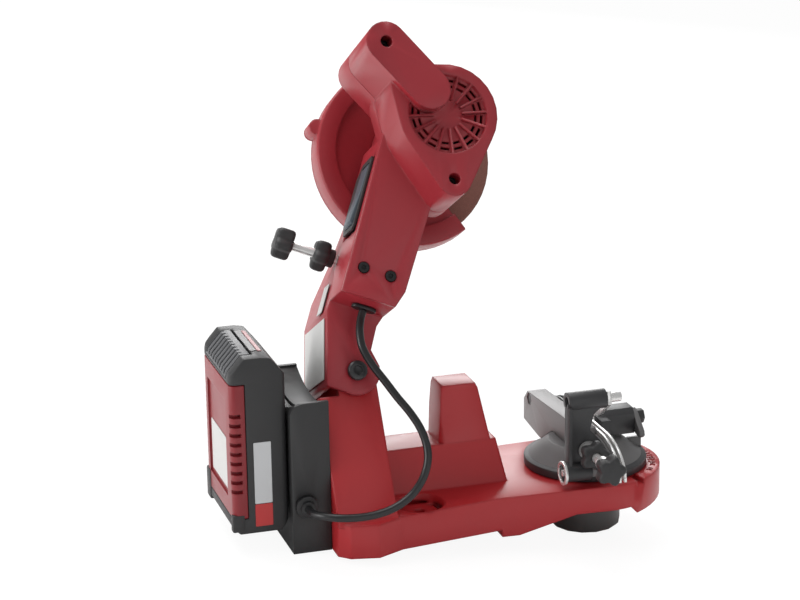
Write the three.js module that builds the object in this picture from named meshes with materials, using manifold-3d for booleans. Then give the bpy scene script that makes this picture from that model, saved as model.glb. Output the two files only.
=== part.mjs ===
// Cordless chain sharpener: base casting, tilted swing arm with motor and grinding disc,
// swivelling chain vise, and a battery in a dock. Millimetres, +Z up, +X towards the vise,
// -Y towards the motor side. The origin is midway between the bench screw holes, on the bench face.
import * as THREE from 'three';
import { mergeVertices } from 'three/addons/utils/BufferGeometryUtils.js';
import Module from 'manifold-3d';

const wasm = await Module();
wasm.setup();

// Fits shared by the whole part
const FIT = 0.35; // gap between pieces that seat on each other
const OVER = 2;
const SLIVER = 0.01; // edges shorter than this are closed up
const WALL = 3; // moulded walls

// Base casting
const DECK_Z = 21; // top of the foot and of the vise platform
const FOOT_REAR_X = -56;
const FOOT_FRONT_X = 50; // the stop edge behind which the bench lies
const FOOT_REAR_HALF = 50;
const FOOT_WIDE_HALF = 60;
const FOOT_WIDE_X = -33;
const FOOT_WAIST_HALF = 52;
const FOOT_WAIST_X = -16;
const FOOT_FRONT_HALF = 43;
const STOP_EDGE_DROP = 4.5;
const STOP_EDGE_LENGTH = 11;
const NOSE_ARCH_Z = 5; // underside over the knob
const NOSE_RADIUS = 47;
const NOSE_TIP_Z = 3;
const HOLE_Y = 34;
const HOLE_R = 3.4;
const SCOOP_R = 14;
const SCOOP_DEPTH = 5;
const SCOOP_RISE = 60;
const DECK_T = 4;
const POCKET = 21;
const RIB = 3;
const TUNNEL_HALF = 13.2;
const TUNNEL_TOP_Z = 48.8;
const TUNNEL_FRONT_X = 56;
const TUNNEL_SLOPE = 7;
const TOWER_TOP_Z = 85;
const TOWER_REAR_X = 23;
const TOWER_FRONT_X = 44;
const TOWER_TOP_HALF = 10;
const TOWER_REAR_DRAFT = 3;
const TOWER_FRONT_DRAFT = 9;
const TOWER_CHAMFER = 3;
const SCALE_TICKS = 9;
const SCALE_STEP_DEG = 5;
const TICK_LENGTH = 4.5;
const TICK_WIDTH = 0.9;
const TICK_HEIGHT = 0.5;

// Hinge of the swing arm, tilted about X
const HINGE = { x: -32, y: 14, z: 87.5 };
const HINGE_TILT_DEG = 28;
const REST_LEAN_DEG = 24;
const TONGUE_R = 12;
const TONGUE_NEAR = 27.6;
const TONGUE_FAR = 17;
const TONGUE_REAR = 24;
const TONGUE_FRONT_FOOT = 13;
const SHOULDER_W = 13;
const FORK_HALF = 32; // outer faces of the cheeks
const CHEEK = 4;
const BOLT_R = 4;
const BOLT_HEAD_R = 6;
const BOLT_HEAD_H = 4.2;
const BUSH_R = 6.5;
const SPRING_MEAN_R = 8.6;
const SPRING_WIRE_R = 0.9;
const SPRING_TURNS = 3;

// Swing arm: p runs along it from the hinge, r is to its rear, t is along the hinge axis
const ARM_L = 149; // hinge to disc centre
const ARM_NEAR = 63.5; // near face of the upper arm
const SPLIT_T = 60; // where the two shells part
const ARM_FAR = 13;
const STEP_P = 36.5; // step between the lower and the upper near face
const ARM_REAR_R = 28;
const ARM_FRONT_R = 12;
const ARM_FRONT_FOOT_R = 4.5;
const BOSS_R = 14.5;
const PANEL_FOOT_P = -14;
const PANEL_FOOT_R = 15;
const PANEL_TOP_P = 30;
const FORK_MOUTH_P = 15;
const FLARE_P = 47;
const FLARE_MID_P = 69;
const FLARE_MID_T = -4;
const FLARE_END_P = 92;
const HOUSING_R = 30.3;
const HOUSING_NEAR = 99;
const HOUSING_FAR = 46;
const LOBE = { p: 112, r: -13.9, radius: 10.5 };
const SHOULDER = { p: 158, r: 24, radius: 14 };
const NECK_R = 24;
const MOTOR_R = 18;
const MOTOR_FAR = 20;
const FAN_ROOM = 23; // from the motor to the outer face of the housing
const MOTOR_NEAR = HOUSING_NEAR - FAN_ROOM;
const SHAFT_R = 2.5;
const HANDLE_NEAR = 105;
const HANDLE_FAR = 33;
const HANDLE_R = 12.2;
const HANDLE_FOOT = { p: 158, r: 15 };
const HANDLE_TOP = { p: 177, r: 48 };
const SCREW_HOLE_R = 3.6;
const SCREW_R = 2;
const SCREW_HEAD_R = 3.2;
const SCREW_HEAD_H = 2.4;
const SCREW_SUNK = 12; // depth of the screw seats, where the shell is thick enough

// Vent cover over the motor
const VENT_R = 23.4;
const VENT_DEEP = 2.6;
const VENT_RIBS = 16;
const VENT_SLOT_R = 21;
const VENT_SLOT_INNER_R = 17.4;
const VENT_SLOT_W = 1.5;
const VENT_SLOT_SHARE = 0.125; // half length of a slot, of its radius
const VENT_RIB_W = 1.3;

// Disc, its guard and its fixings
const DISC_R = 54;
const DISC_T = 3.2;
const DISC_BORE_R = 11.5;
const FLANGE_R = 17;
const GUARD_R = 59;
const GUARD_WALL = 2.5;
const GUARD_NEAR = 10;
const GUARD_STEP = 3;
const GUARD_BAND = 12;
const GUARD_FAR = -6;
const GUARD_FROM_DEG = -12;
const GUARD_TO_DEG = 233;
const EAR_R = 5;
const EAR_AT_DEG = [20, 92, 196];

// Depth stop screw through the arm
const DEPTH = { p: 66, t: 17 };
const DEPTH_SCREW_R = 3;
const DEPTH_KNOB_R = 10;
const DEPTH_KNOB_R0 = 56.5;
const DEPTH_KNOB_H = 11;
const LOCK_R0 = 33.5;
const LOCK_H = 9;
const DEPTH_TIP = 13; // reach past the arm's axis on the front side

// Switch in the rear face of the arm
const SWITCH = { p: 101, t: 38, long: 54, wide: 37, corner: 9 };
const SWITCH_BEZEL = 2.2;
const ROCKER = { t: 42, long: 46, wide: 20, deep: 9, proud: 1.8 };

// Battery and its dock
const DOCK_REAR_X = -80;
const DOCK_HALF = 38;
const DOCK_TOP_Z = 94;
const DOCK_SAG = 9; // the top rim dips between its sides
const DOCK_REAR_ROUND = 8;
const BATTERY_REAR_X = -115;
const BATTERY_HALF = 34;
const BATTERY_BOTTOM_Z = 15;
const BATTERY_TOP_Z = 124;
const LATCH_TRAVEL = 1.2;

// Vise on its turntable, u and v from the turntable axis
const TABLE = { x: 120, r: 38.5 };
const TABLE_RIM_H = 5;
const TABLE_CONE_TOP_R = 27;
const TABLE_TOP_Z = 37;
const KNOB_R = 22.5;
const KNOB_BOTTOM_Z = -19.5;
const KNOB_H = 15;
const KNOB_FACETS = 14;
const SWIVEL_BOLT_R = 4;
const RAIL_T = 1.6;
const RAIL_TOP_Z = 51.5;
const RAIL_FIXED_U = -2.9;
const RAIL_MOVING_U = 0.5;
const RAIL_HALF = 65;
const RAIL_FOOT_Z = 30;
const RAIL_END_LONG = 32; // the ends curve down over this length
const RAIL_END_DROP = 20;
const RAIL_END_BAR = 9; // height of the bar round its curved end
const VISE_FLOOR = 4; // floor under the rails
const WING_REAR_U = -15.5;
const WING_NEAR_V = -27;
const WING_FAR_V = 70;
const WING_TOP_Z = 51;
const CLAMP = { u: 5, end: 30, half: 8, low: 39, high: 55 };
const CLAMP_AXIS_Z = 47;
const LEVER_R = 6;
const BRACKET = { v: -38, thick: 5, from: -27, to: -11, hingeV: -40, hingeZ: 31, rodV: -36, rodZ: 75 };
const TOP_BARREL = { from: -26, to: -1.5 };
const LOWER_BARREL = { from: -28.5, to: -12.5 };
const PAWL = { from: -0.9, to: 1.5, reachV: -9, lowZ: 54.5 };
const ROD_END_U = 9;
const BARREL_R = 6;
const ROD_R = 3;
const STOP_SCREW = { u: -14.6, z: 45, tip: -27.5, end: -84, lock: -50, knob: -75 };
const STAR_R = 9.5;
const STAR_LOBES = 5;

// Cable from the arm to the dock
const CABLE_R = 2.4;

const RED = { color: 0x9c3038, roughness: 0.5, metalness: 0 };
const RED_BRIGHT = { color: 0xb23038, roughness: 0.45, metalness: 0 };
const BLACK = { color: 0x2c2d2e, roughness: 0.55, metalness: 0 };
const GREY = { color: 0x5a5b5d, roughness: 0.5, metalness: 0 };
const STEEL = { color: 0xb9bbbd, roughness: 0.35, metalness: 0.9 };
const DARK_STEEL = { color: 0x3b3c3e, roughness: 0.45, metalness: 0.7 };
const BRASS = { color: 0xb08d4a, roughness: 0.4, metalness: 0.9 };
const ABRASIVE = { color: 0x6b3f35, roughness: 0.95, metalness: 0 };
const LABEL = { color: 0xc9cbcd, roughness: 0.4, metalness: 0.1 };
const RUBBER = { color: 0x1e1f20, roughness: 0.8, metalness: 0 };

// Solids from three.js geometries
function toSolid(geometry) {
  const bare = geometry.index ? geometry.toNonIndexed() : geometry.clone();
  for (const name of Object.keys(bare.attributes)) {
    if (name !== 'position') bare.deleteAttribute(name);
  }
  const merged = mergeVertices(bare, 1e-4);
  const mesh = new wasm.Mesh({
    numProp: 3,
    vertProperties: new Float32Array(merged.attributes.position.array),
    triVerts: new Uint32Array(merged.index.array),
  });
  return new wasm.Manifold(mesh);
}

function toGeometry(solid) {
  const mesh = solid.getMesh();
  const geometry = new THREE.BufferGeometry();
  geometry.setAttribute('position', new THREE.BufferAttribute(new Float32Array(mesh.vertProperties), 3));
  geometry.setIndex(new THREE.BufferAttribute(new Uint32Array(mesh.triVerts), 1));
  const flat = geometry.toNonIndexed();
  flat.computeVertexNormals();
  return flat;
}

function union(...solids) {
  return solids.reduce((sum, solid) => sum.add(solid));
}

function shapeOf(points) {
  return new THREE.Shape(points.map(([x, y]) => new THREE.Vector2(x, y)));
}

// A prism of an outline in (x, y) between two heights
function prism(points, from, to) {
  const geometry = new THREE.ExtrudeGeometry(shapeOf(points), { depth: to - from, bevelEnabled: false });
  geometry.translate(0, 0, from);
  return toSolid(geometry);
}

// A prism of an outline in (x, z) between two y
function prismAlongY(points, from, to) {
  const geometry = new THREE.ExtrudeGeometry(shapeOf(points), { depth: to - from, bevelEnabled: false });
  geometry.rotateX(Math.PI / 2);
  geometry.translate(0, to, 0);
  return toSolid(geometry);
}

// A prism of an outline in (y, z) between two x
function prismAlongX(points, from, to) {
  const geometry = new THREE.ExtrudeGeometry(shapeOf(points), { depth: to - from, bevelEnabled: false });
  geometry.applyMatrix4(new THREE.Matrix4().makeBasis(
    new THREE.Vector3(0, 1, 0), new THREE.Vector3(0, 0, 1), new THREE.Vector3(1, 0, 0)));
  geometry.translate(from, 0, 0);
  return toSolid(geometry);
}

function box(x0, x1, y0, y1, z0, z1) {
  const geometry = new THREE.BoxGeometry(x1 - x0, y1 - y0, z1 - z0);
  geometry.translate((x0 + x1) / 2, (y0 + y1) / 2, (z0 + z1) / 2);
  return toSolid(geometry);
}

// A body of revolution about Z at (x, y); the profile is a list of [radius, z]
function turned(profile, sides = 32, x = 0, y = 0) {
  const geometry = new THREE.LatheGeometry(profile.map(([r, z]) => new THREE.Vector2(r, z)), sides);
  geometry.rotateX(Math.PI / 2);
  geometry.translate(x, y, 0);
  const solid = toSolid(geometry);
  return solid.volume() < 0 ? toSolid(flipped(geometry)) : solid;
}

function flipped(geometry) {
  const copy = geometry.toNonIndexed();
  const position = copy.attributes.position.array;
  for (let i = 0; i < position.length; i += 9) {
    for (let k = 0; k < 3; k += 1) {
      const kept = position[i + 3 + k];
      position[i + 3 + k] = position[i + 6 + k];
      position[i + 6 + k] = kept;
    }
  }
  return copy;
}

function rod(radius, z0, z1, sides = 24, x = 0, y = 0) {
  return turned([[0, z0], [radius, z0], [radius, z1], [0, z1]], sides, x, y);
}

function ring(inner, outer, z0, z1, sides = 24, x = 0, y = 0) {
  return turned([[inner, z0], [outer, z0], [outer, z1], [inner, z1], [inner, z0]], sides, x, y);
}

// The same rods along X or Y
function rodAlongX(radius, x0, x1, y, z, sides = 20) {
  return rod(radius, x0, x1, sides).rotate([0, 90, 0]).translate([0, y, z]);
}

function rodAlongY(radius, y0, y1, x, z, sides = 20) {
  return rod(radius, -y1, -y0, sides).rotate([90, 0, 0]).translate([x, 0, z]);
}

// Convex outline round a set of circles [x, y, radius]
function outlineRound(circles, steps = 28) {
  const points = [];
  for (const [x, y, radius] of circles) {
    for (let i = 0; i < steps; i += 1) {
      const angle = (2 * Math.PI * i) / steps;
      points.push([x + radius * Math.cos(angle), y + radius * Math.sin(angle)]);
    }
  }
  points.sort((a, b) => a[0] - b[0] || a[1] - b[1]);
  const cross = (o, a, b) => (a[0] - o[0]) * (b[1] - o[1]) - (a[1] - o[1]) * (b[0] - o[0]);
  const half = (list) => {
    const chain = [];
    for (const point of list) {
      while (chain.length > 1 && cross(chain.at(-2), chain.at(-1), point) <= 0) chain.pop();
      chain.push(point);
    }
    chain.pop();
    return chain;
  };
  return [...half(points), ...half([...points].reverse())];
}

function arc(x, y, radius, fromDeg, toDeg, steps) {
  const points = [];
  for (let i = 0; i <= steps; i += 1) {
    const angle = THREE.MathUtils.degToRad(fromDeg + ((toDeg - fromDeg) * i) / steps);
    points.push([x + radius * Math.cos(angle), y + radius * Math.sin(angle)]);
  }
  return points;
}

// A star knob about Z: a round of radius with lobes
function starKnob(radius, z0, z1, lobes = STAR_LOBES) {
  const steps = lobes * 8;
  const depthShare = 0.11;
  const points = [];
  for (let i = 0; i < steps; i += 1) {
    const angle = (2 * Math.PI * i) / steps;
    const reach = radius * (1 - depthShare + depthShare * Math.cos(lobes * angle));
    points.push([reach * Math.cos(angle), reach * Math.sin(angle)]);
  }
  return prism(points, z0, z1);
}

// Named meshes in the scene graph
const sharpener = new THREE.Group();
const hingeFrame = new THREE.Group(); // x along X, y up the swing plane, z along the hinge axis
const armFrame = new THREE.Group(); // x along the arm, y to its rear, z along the hinge axis
const tilt = THREE.MathUtils.degToRad(90 - HINGE_TILT_DEG);
hingeFrame.rotation.set(tilt, 0, 0);
hingeFrame.position.set(HINGE.x, HINGE.y, HINGE.z);
armFrame.rotation.set(0, 0, THREE.MathUtils.degToRad(90 - REST_LEAN_DEG));
hingeFrame.add(armFrame);
sharpener.add(hingeFrame);
sharpener.updateMatrixWorld(true);

function piece(name, solid, finish, parent = sharpener) {
  const mesh = new THREE.Mesh(toGeometry(solid.simplify(SLIVER)), new THREE.MeshStandardMaterial(finish));
  mesh.name = name;
  parent.add(mesh);
  return mesh;
}

// A solid of a frame's own axes brought to the world's axes, for cuts in the base
function toWorld(solid, frame) {
  return solid.transform(frame.matrixWorld.elements);
}

const out = ARM_L;

// Base casting: foot, pedestal tongue, tunnel block, stop tower, platform and nose
function footOutline(inset) {
  const noseJoin = 100;
  const right = [
    [FOOT_REAR_X + inset, -FOOT_REAR_HALF + inset],
    [FOOT_REAR_X + FOOT_REAR_HALF / 8 + inset, -FOOT_REAR_HALF - FOOT_REAR_HALF / 8 + inset],
    [FOOT_WIDE_X, -FOOT_WIDE_HALF + inset],
    [FOOT_WAIST_X, -FOOT_WAIST_HALF + inset],
    [FOOT_FRONT_X, -FOOT_FRONT_HALF + inset],
  ];
  const nose = arc(TABLE.x, 0, NOSE_RADIUS - inset, -noseJoin, noseJoin, 28);
  const left = right.map(([x, y]) => [x, -y]).reverse();
  return [...right, ...nose, ...left];
}

function baseCasting() {
  const wide = FOOT_WIDE_HALF + OVER;
  const side = [
    [FOOT_REAR_X - OVER, 0],
    [FOOT_FRONT_X, 0],
    [FOOT_FRONT_X, -STOP_EDGE_DROP],
    [FOOT_FRONT_X + STOP_EDGE_LENGTH, -STOP_EDGE_DROP],
    [TABLE.x - KNOB_R, NOSE_ARCH_Z],
    [TABLE.x + KNOB_R * 0.6, NOSE_ARCH_Z],
    [TABLE.x + KNOB_R * 0.8, 0],
    [TABLE.x + NOSE_RADIUS + OVER, NOSE_TIP_Z],
    [TABLE.x + NOSE_RADIUS + OVER, DECK_Z],
    [FOOT_REAR_X - OVER, DECK_Z],
  ];
  let foot = prism(footOutline(0), -STOP_EDGE_DROP - OVER, DECK_Z + OVER);
  foot = foot.intersect(prismAlongY(side, -wide, wide));

  // Pockets and ribs under the deck
  let pockets = null;
  const pitch = POCKET + RIB;
  const along = Math.ceil((TABLE.x + NOSE_RADIUS - FOOT_REAR_X) / pitch);
  const across = Math.ceil(FOOT_WIDE_HALF / pitch);
  for (let i = 0; i < along; i += 1) {
    for (let k = -across; k < across; k += 1) {
      const x0 = FOOT_REAR_X + WALL + i * pitch;
      const y0 = k * pitch + RIB / 2;
      const cell = box(x0, x0 + POCKET, y0, y0 + POCKET, -STOP_EDGE_DROP - OVER, DECK_Z - DECK_T);
      pockets = pockets ? pockets.add(cell) : cell;
    }
  }
  const solidZones = union(
    rod(KNOB_R - WALL, -STOP_EDGE_DROP - OVER, DECK_Z, 24, TABLE.x, 0),
    rod(SCOOP_R * 0.8, -OVER, DECK_Z, 20, 0, -HOLE_Y),
    rod(SCOOP_R * 0.8, -OVER, DECK_Z, 20, 0, HOLE_Y),
    box(FOOT_FRONT_X - RIB, FOOT_FRONT_X + STOP_EDGE_LENGTH, -wide, wide, -STOP_EDGE_DROP - OVER, DECK_Z),
    box(-SCOOP_R, SCOOP_R, -HOLE_Y / 2, HOLE_Y / 2, -OVER, DECK_Z),
  );
  const hollow = prism(footOutline(WALL), -STOP_EDGE_DROP - OVER, DECK_Z - DECK_T).intersect(pockets);
  foot = foot.subtract(hollow.subtract(solidZones));

  // Tunnel block with its sloped front
  const tunnelSide = [
    [HINGE.x, DECK_Z - OVER],
    [HINGE.x, TUNNEL_TOP_Z],
    [TUNNEL_FRONT_X, TUNNEL_TOP_Z],
    [TUNNEL_FRONT_X + TUNNEL_SLOPE, DECK_Z - OVER],
  ];
  const tunnelSection = [
    [-TUNNEL_HALF - WALL, DECK_Z - OVER],
    [TUNNEL_HALF + WALL, DECK_Z - OVER],
    [TUNNEL_HALF, TUNNEL_TOP_Z],
    [-TUNNEL_HALF, TUNNEL_TOP_Z],
  ];
  const tunnel = prismAlongY(tunnelSide, -wide, wide)
    .intersect(prismAlongX(tunnelSection, HINGE.x - OVER, TABLE.x));

  // Stop tower, drafted on all sides, with chamfered uprights
  const towerSide = [
    [TOWER_REAR_X - TOWER_REAR_DRAFT, TUNNEL_TOP_Z - OVER],
    [TOWER_FRONT_X + TOWER_FRONT_DRAFT, TUNNEL_TOP_Z - OVER],
    [TOWER_FRONT_X + TOWER_CHAMFER / 2, TOWER_TOP_Z - TOWER_CHAMFER],
    [TOWER_FRONT_X, TOWER_TOP_Z],
    [TOWER_REAR_X, TOWER_TOP_Z],
    [TOWER_REAR_X - TOWER_CHAMFER / 3, TOWER_TOP_Z - TOWER_CHAMFER],
  ];
  const towerSection = [
    [-TUNNEL_HALF, TUNNEL_TOP_Z - OVER],
    [TUNNEL_HALF, TUNNEL_TOP_Z - OVER],
    [TOWER_TOP_HALF, TOWER_TOP_Z],
    [-TOWER_TOP_HALF, TOWER_TOP_Z],
  ];
  const chamfered = [
    [TOWER_REAR_X - TOWER_REAR_DRAFT, -TUNNEL_HALF + TOWER_CHAMFER],
    [TOWER_REAR_X, -TUNNEL_HALF],
    [TOWER_FRONT_X + TOWER_FRONT_DRAFT, -TUNNEL_HALF],
    [TOWER_FRONT_X + TOWER_FRONT_DRAFT, TUNNEL_HALF],
    [TOWER_REAR_X, TUNNEL_HALF],
    [TOWER_REAR_X - TOWER_REAR_DRAFT, TUNNEL_HALF - TOWER_CHAMFER],
  ];
  const tower = prismAlongY(towerSide, -wide, wide)
    .intersect(prismAlongX(towerSection, 0, TABLE.x))
    .intersect(prism(chamfered, TUNNEL_TOP_Z - OVER, TOWER_TOP_Z + OVER));

  // Pedestal: a tilted tongue for the fork over a drafted block
  const reach = HINGE.z * 2;
  const tongueOutline = [
    ...arc(0, 0, TONGUE_R, 0, 180, 14),
    [-TONGUE_R, -SHOULDER_W],
    [-TONGUE_REAR, -SHOULDER_W],
    [-TONGUE_REAR, -reach],
    [TONGUE_FRONT_FOOT + TONGUE_R, -reach],
    [TONGUE_FRONT_FOOT, -HINGE.z],
  ];
  const near = nearLine(TONGUE_NEAR);
  const pedestalSection = [
    near(DECK_Z - OVER),
    [HINGE.y, DECK_Z - OVER],
    [FOOT_REAR_HALF, DECK_Z - OVER],
    [HINGE.y + FORK_HALF - CHEEK, HINGE.z - SHOULDER_W * 2],
    [HINGE.y + FORK_HALF - CHEEK, HINGE.z + TONGUE_R * 2],
    near(HINGE.z + TONGUE_R * 3),
  ];
  let pedestal = toWorld(prism(tongueOutline, -reach, TONGUE_NEAR), hingeFrame)
    .intersect(prismAlongX(pedestalSection, HINGE.x - reach, HINGE.x + reach));
  // Clear the fork's far cheek and spring, above the shoulder
  const farRoom = prism([
    [-FORK_HALF, -SHOULDER_W + FIT], [FORK_HALF, -SHOULDER_W - TONGUE_R],
    [FORK_HALF, FORK_HALF], [-FORK_HALF, FORK_HALF],
  ], -FORK_HALF * 2, -TONGUE_FAR);
  pedestal = pedestal.subtract(toWorld(farRoom, hingeFrame));
  pedestal = pedestal.subtract(toWorld(rod(BUSH_R + FIT, -FORK_HALF * 2, FORK_HALF * 2), hingeFrame));

  let body = union(foot, tunnel, tower, pedestal);
  // Bench screw holes in scooped seats
  for (const y of [-HOLE_Y, HOLE_Y]) {
    const seat = turned([[0, DECK_Z - SCOOP_DEPTH], [SCOOP_R, DECK_Z - SCOOP_DEPTH],
      [SCOOP_R + OVER, DECK_Z + OVER], [0, DECK_Z + OVER]], 28, 0, y);
    body = body.subtract(seat.subtract(box(-SCOOP_RISE, SCOOP_RISE, -TUNNEL_HALF - WALL, TUNNEL_HALF + WALL, 0, SCOOP_RISE)));
    body = body.subtract(rod(HOLE_R, -OVER, DECK_Z, 20, 0, y));
  }
  // Swivel bolt bore and the angle scale round the nose
  body = body.subtract(rod(SWIVEL_BOLT_R + FIT, -OVER, DECK_Z + OVER, 20, TABLE.x, 0));
  for (let i = 0; i < SCALE_TICKS; i += 1) {
    const angle = (i - (SCALE_TICKS - 1) / 2) * SCALE_STEP_DEG;
    const from = TABLE.r + FIT * 3;
    const tick = box(from, from + TICK_LENGTH, -TICK_WIDTH / 2, TICK_WIDTH / 2, DECK_Z - TICK_HEIGHT, DECK_Z + TICK_HEIGHT);
    body = body.add(tick.rotate([0, 0, angle]).translate([TABLE.x, 0, 0]));
  }
  return body;
}

// The near face of the pedestal in (y, z), square to the hinge axis at a distance t
function nearLine(t) {
  const a = THREE.MathUtils.degToRad(HINGE_TILT_DEG);
  return (z) => [HINGE.y + (Math.sin(a) * (z - HINGE.z) - t) / Math.cos(a), z];
}

piece('base_casting', baseCasting(), RED_BRIGHT);

// Swing arm: two shells, closed outside, with room for the motor, switch and wires
const armOutline = [
  [FORK_MOUTH_P, -ARM_FRONT_FOOT_R - 1.5 * FIT],
  [PANEL_TOP_P, -ARM_FRONT_FOOT_R],
  [FLARE_P, -ARM_FRONT_R + OVER],
  [out - NECK_R, -ARM_FRONT_R],
  [out - ARM_FRONT_R, -ARM_FRONT_R],
  [out - ARM_FRONT_R, ARM_REAR_R],
  [PANEL_TOP_P, ARM_REAR_R - 1],
  [PANEL_FOOT_P, PANEL_FOOT_R],
  ...arc(0, 0, BOSS_R, 165, 300, 12),
];

const armReach = ARM_L + HOUSING_R;
// Far side of the arm, seen along the rear: it flares down to the fork
const flareProfile = [
  [-BOSS_R - OVER, -FORK_HALF], [FLARE_P, -FORK_HALF], [FLARE_MID_P, FLARE_MID_T], [FLARE_END_P, ARM_FAR],
  [armReach, ARM_FAR], [armReach, SPLIT_T], [STEP_P, SPLIT_T], [STEP_P, FORK_HALF], [-BOSS_R - OVER, FORK_HALF],
];

function housingOutline(inset) {
  return outlineRound([
    [out, 0, HOUSING_R - inset],
    [LOBE.p, LOBE.r, LOBE.radius - inset],
    [SHOULDER.p, SHOULDER.r, SHOULDER.radius - inset],
  ]);
}

function handleOutline(inset) {
  return outlineRound([
    [HANDLE_FOOT.p, HANDLE_FOOT.r, HANDLE_R - inset],
    [HANDLE_TOP.p, HANDLE_TOP.r, HANDLE_R - inset],
  ], 24);
}

const screwPlaces = [
  [STEP_P + 17, 18, ARM_NEAR],
  [STEP_P + 17, 1, ARM_NEAR],
  [LOBE.p, LOBE.r, HOUSING_NEAR],
  [HANDLE_TOP.p, HANDLE_TOP.r, HANDLE_NEAR],
];

function armShellFar() {
  const arm = prism(armOutline, -FORK_HALF - OVER, SPLIT_T + OVER)
    .intersect(prismAlongY(flareProfile, -armReach, armReach));
  let shell = union(
    arm,
    rod(NECK_R, GUARD_NEAR - GUARD_STEP + FIT, SPLIT_T, 40, out, 0),
    prism(housingOutline(0), HOUSING_FAR, SPLIT_T),
    prism(handleOutline(0), HANDLE_FAR, SPLIT_T),
  );
  // The fork's room between its cheeks, open to the front below the mouth
  const forkRoom = [
    [-BOSS_R - OVER, -ARM_REAR_R], [FORK_MOUTH_P - 1, -ARM_REAR_R], [FORK_MOUTH_P, -ARM_FRONT_FOOT_R + WALL],
    [STEP_P - WALL, -ARM_FRONT_FOOT_R + WALL], [STEP_P - WALL, ARM_REAR_R - 1 - WALL],
    [PANEL_TOP_P, ARM_REAR_R - 1 - WALL], [PANEL_FOOT_P, PANEL_FOOT_R - WALL],
    [-BOSS_R - OVER, PANEL_FOOT_R - WALL - 1],
  ];
  shell = shell.subtract(prism(forkRoom, -FORK_HALF + CHEEK, FORK_HALF - CHEEK));
  // Wiring room in the upper arm, with the posts of the screws and of the depth stop left standing
  let room = prism([
    [FLARE_P, -ARM_FRONT_R + OVER + WALL], [out - HOUSING_R, -ARM_FRONT_R + WALL],
    [out - HOUSING_R, ARM_REAR_R - WALL], [FLARE_P, ARM_REAR_R - WALL],
  ], ARM_FAR + WALL, SPLIT_T + OVER);
  const stopBlock = box(DEPTH.p - 3 * DEPTH_SCREW_R, DEPTH.p + 3 * DEPTH_SCREW_R, -ARM_REAR_R, ARM_REAR_R,
    ARM_FAR, DEPTH.t + 3 * DEPTH_SCREW_R);
  room = room.subtract(stopBlock);
  for (const [p, r] of screwPlaces) room = room.subtract(rod(SCREW_R + WALL, ARM_FAR, SPLIT_T + OVER, 16, p, r));
  shell = shell.subtract(room);
  // Motor room
  shell = shell.subtract(rod(MOTOR_R + FIT, MOTOR_FAR - FIT, SPLIT_T + OVER, 40, out, 0));
  shell = shell.subtract(rod(SHAFT_R * 3 + FIT, 0, MOTOR_FAR, 24, out, 0));
  // Hollow grip
  shell = shell.subtract(prism(handleOutline(WALL), HANDLE_FAR + WALL, SPLIT_T + OVER)
    .subtract(rod(SCREW_R + WALL, HANDLE_FAR, SPLIT_T + OVER, 16, HANDLE_TOP.p, HANDLE_TOP.r))
    .subtract(prism(housingOutline(-FIT), 0, SPLIT_T + OVER)));
  // Screw pilots, hinge bores, switch opening and depth stop bore
  for (const [p, r] of screwPlaces) {
    shell = shell.subtract(rod(SCREW_R + FIT / 2, SPLIT_T - 4 * SCREW_R, SPLIT_T + OVER, 12, p, r));
  }
  shell = shell.subtract(rod(BOLT_R + FIT, -FORK_HALF * 2, FORK_HALF * 2, 24));
  shell = shell.subtract(box(SWITCH.p - SWITCH.long / 2 + SWITCH_BEZEL, SWITCH.p + SWITCH.long / 2 - SWITCH_BEZEL,
    ARM_REAR_R - 4 * WALL - FIT, ARM_REAR_R + OVER,
    SWITCH.t - SWITCH.wide / 2 + SWITCH_BEZEL, SWITCH.t + SWITCH.wide / 2 - SWITCH_BEZEL));
  shell = shell.subtract(rodAlongY(DEPTH_SCREW_R + FIT, -ARM_REAR_R, ARM_REAR_R + OVER, DEPTH.p, DEPTH.t, 16));
  return shell;
}

function ventCuts() {
  let cuts = turned([[0, HOUSING_NEAR - VENT_DEEP], [VENT_R, HOUSING_NEAR - VENT_DEEP],
    [VENT_R + VENT_DEEP / 2, HOUSING_NEAR + OVER], [0, HOUSING_NEAR + OVER]], 40, out, 0);
  const half = VENT_RIB_W / 2;
  const floor = HOUSING_NEAR - VENT_DEEP - WALL - OVER;
  for (let i = 0; i < VENT_RIBS; i += 1) {
    const angle = (360 * i) / VENT_RIBS;
    const rib = box(VENT_SLOT_INNER_R / 2, VENT_R + OVER, -half, half, HOUSING_NEAR - VENT_DEEP - 1, HOUSING_NEAR - FIT);
    cuts = cuts.subtract(rib.rotate([0, 0, angle]).translate([out, 0, 0]));
  }
  for (let i = 0; i < VENT_RIBS; i += 1) {
    const angle = (360 * (i + 0.5)) / VENT_RIBS;
    for (const radius of [VENT_SLOT_INNER_R, VENT_SLOT_R]) {
      const halfSlot = radius * VENT_SLOT_SHARE;
      const slot = box(radius - VENT_SLOT_W / 2, radius + VENT_SLOT_W / 2, -halfSlot, halfSlot, floor, HOUSING_NEAR);
      cuts = cuts.add(slot.rotate([0, 0, angle]).translate([out, 0, 0]));
    }
  }
  return cuts;
}

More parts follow.
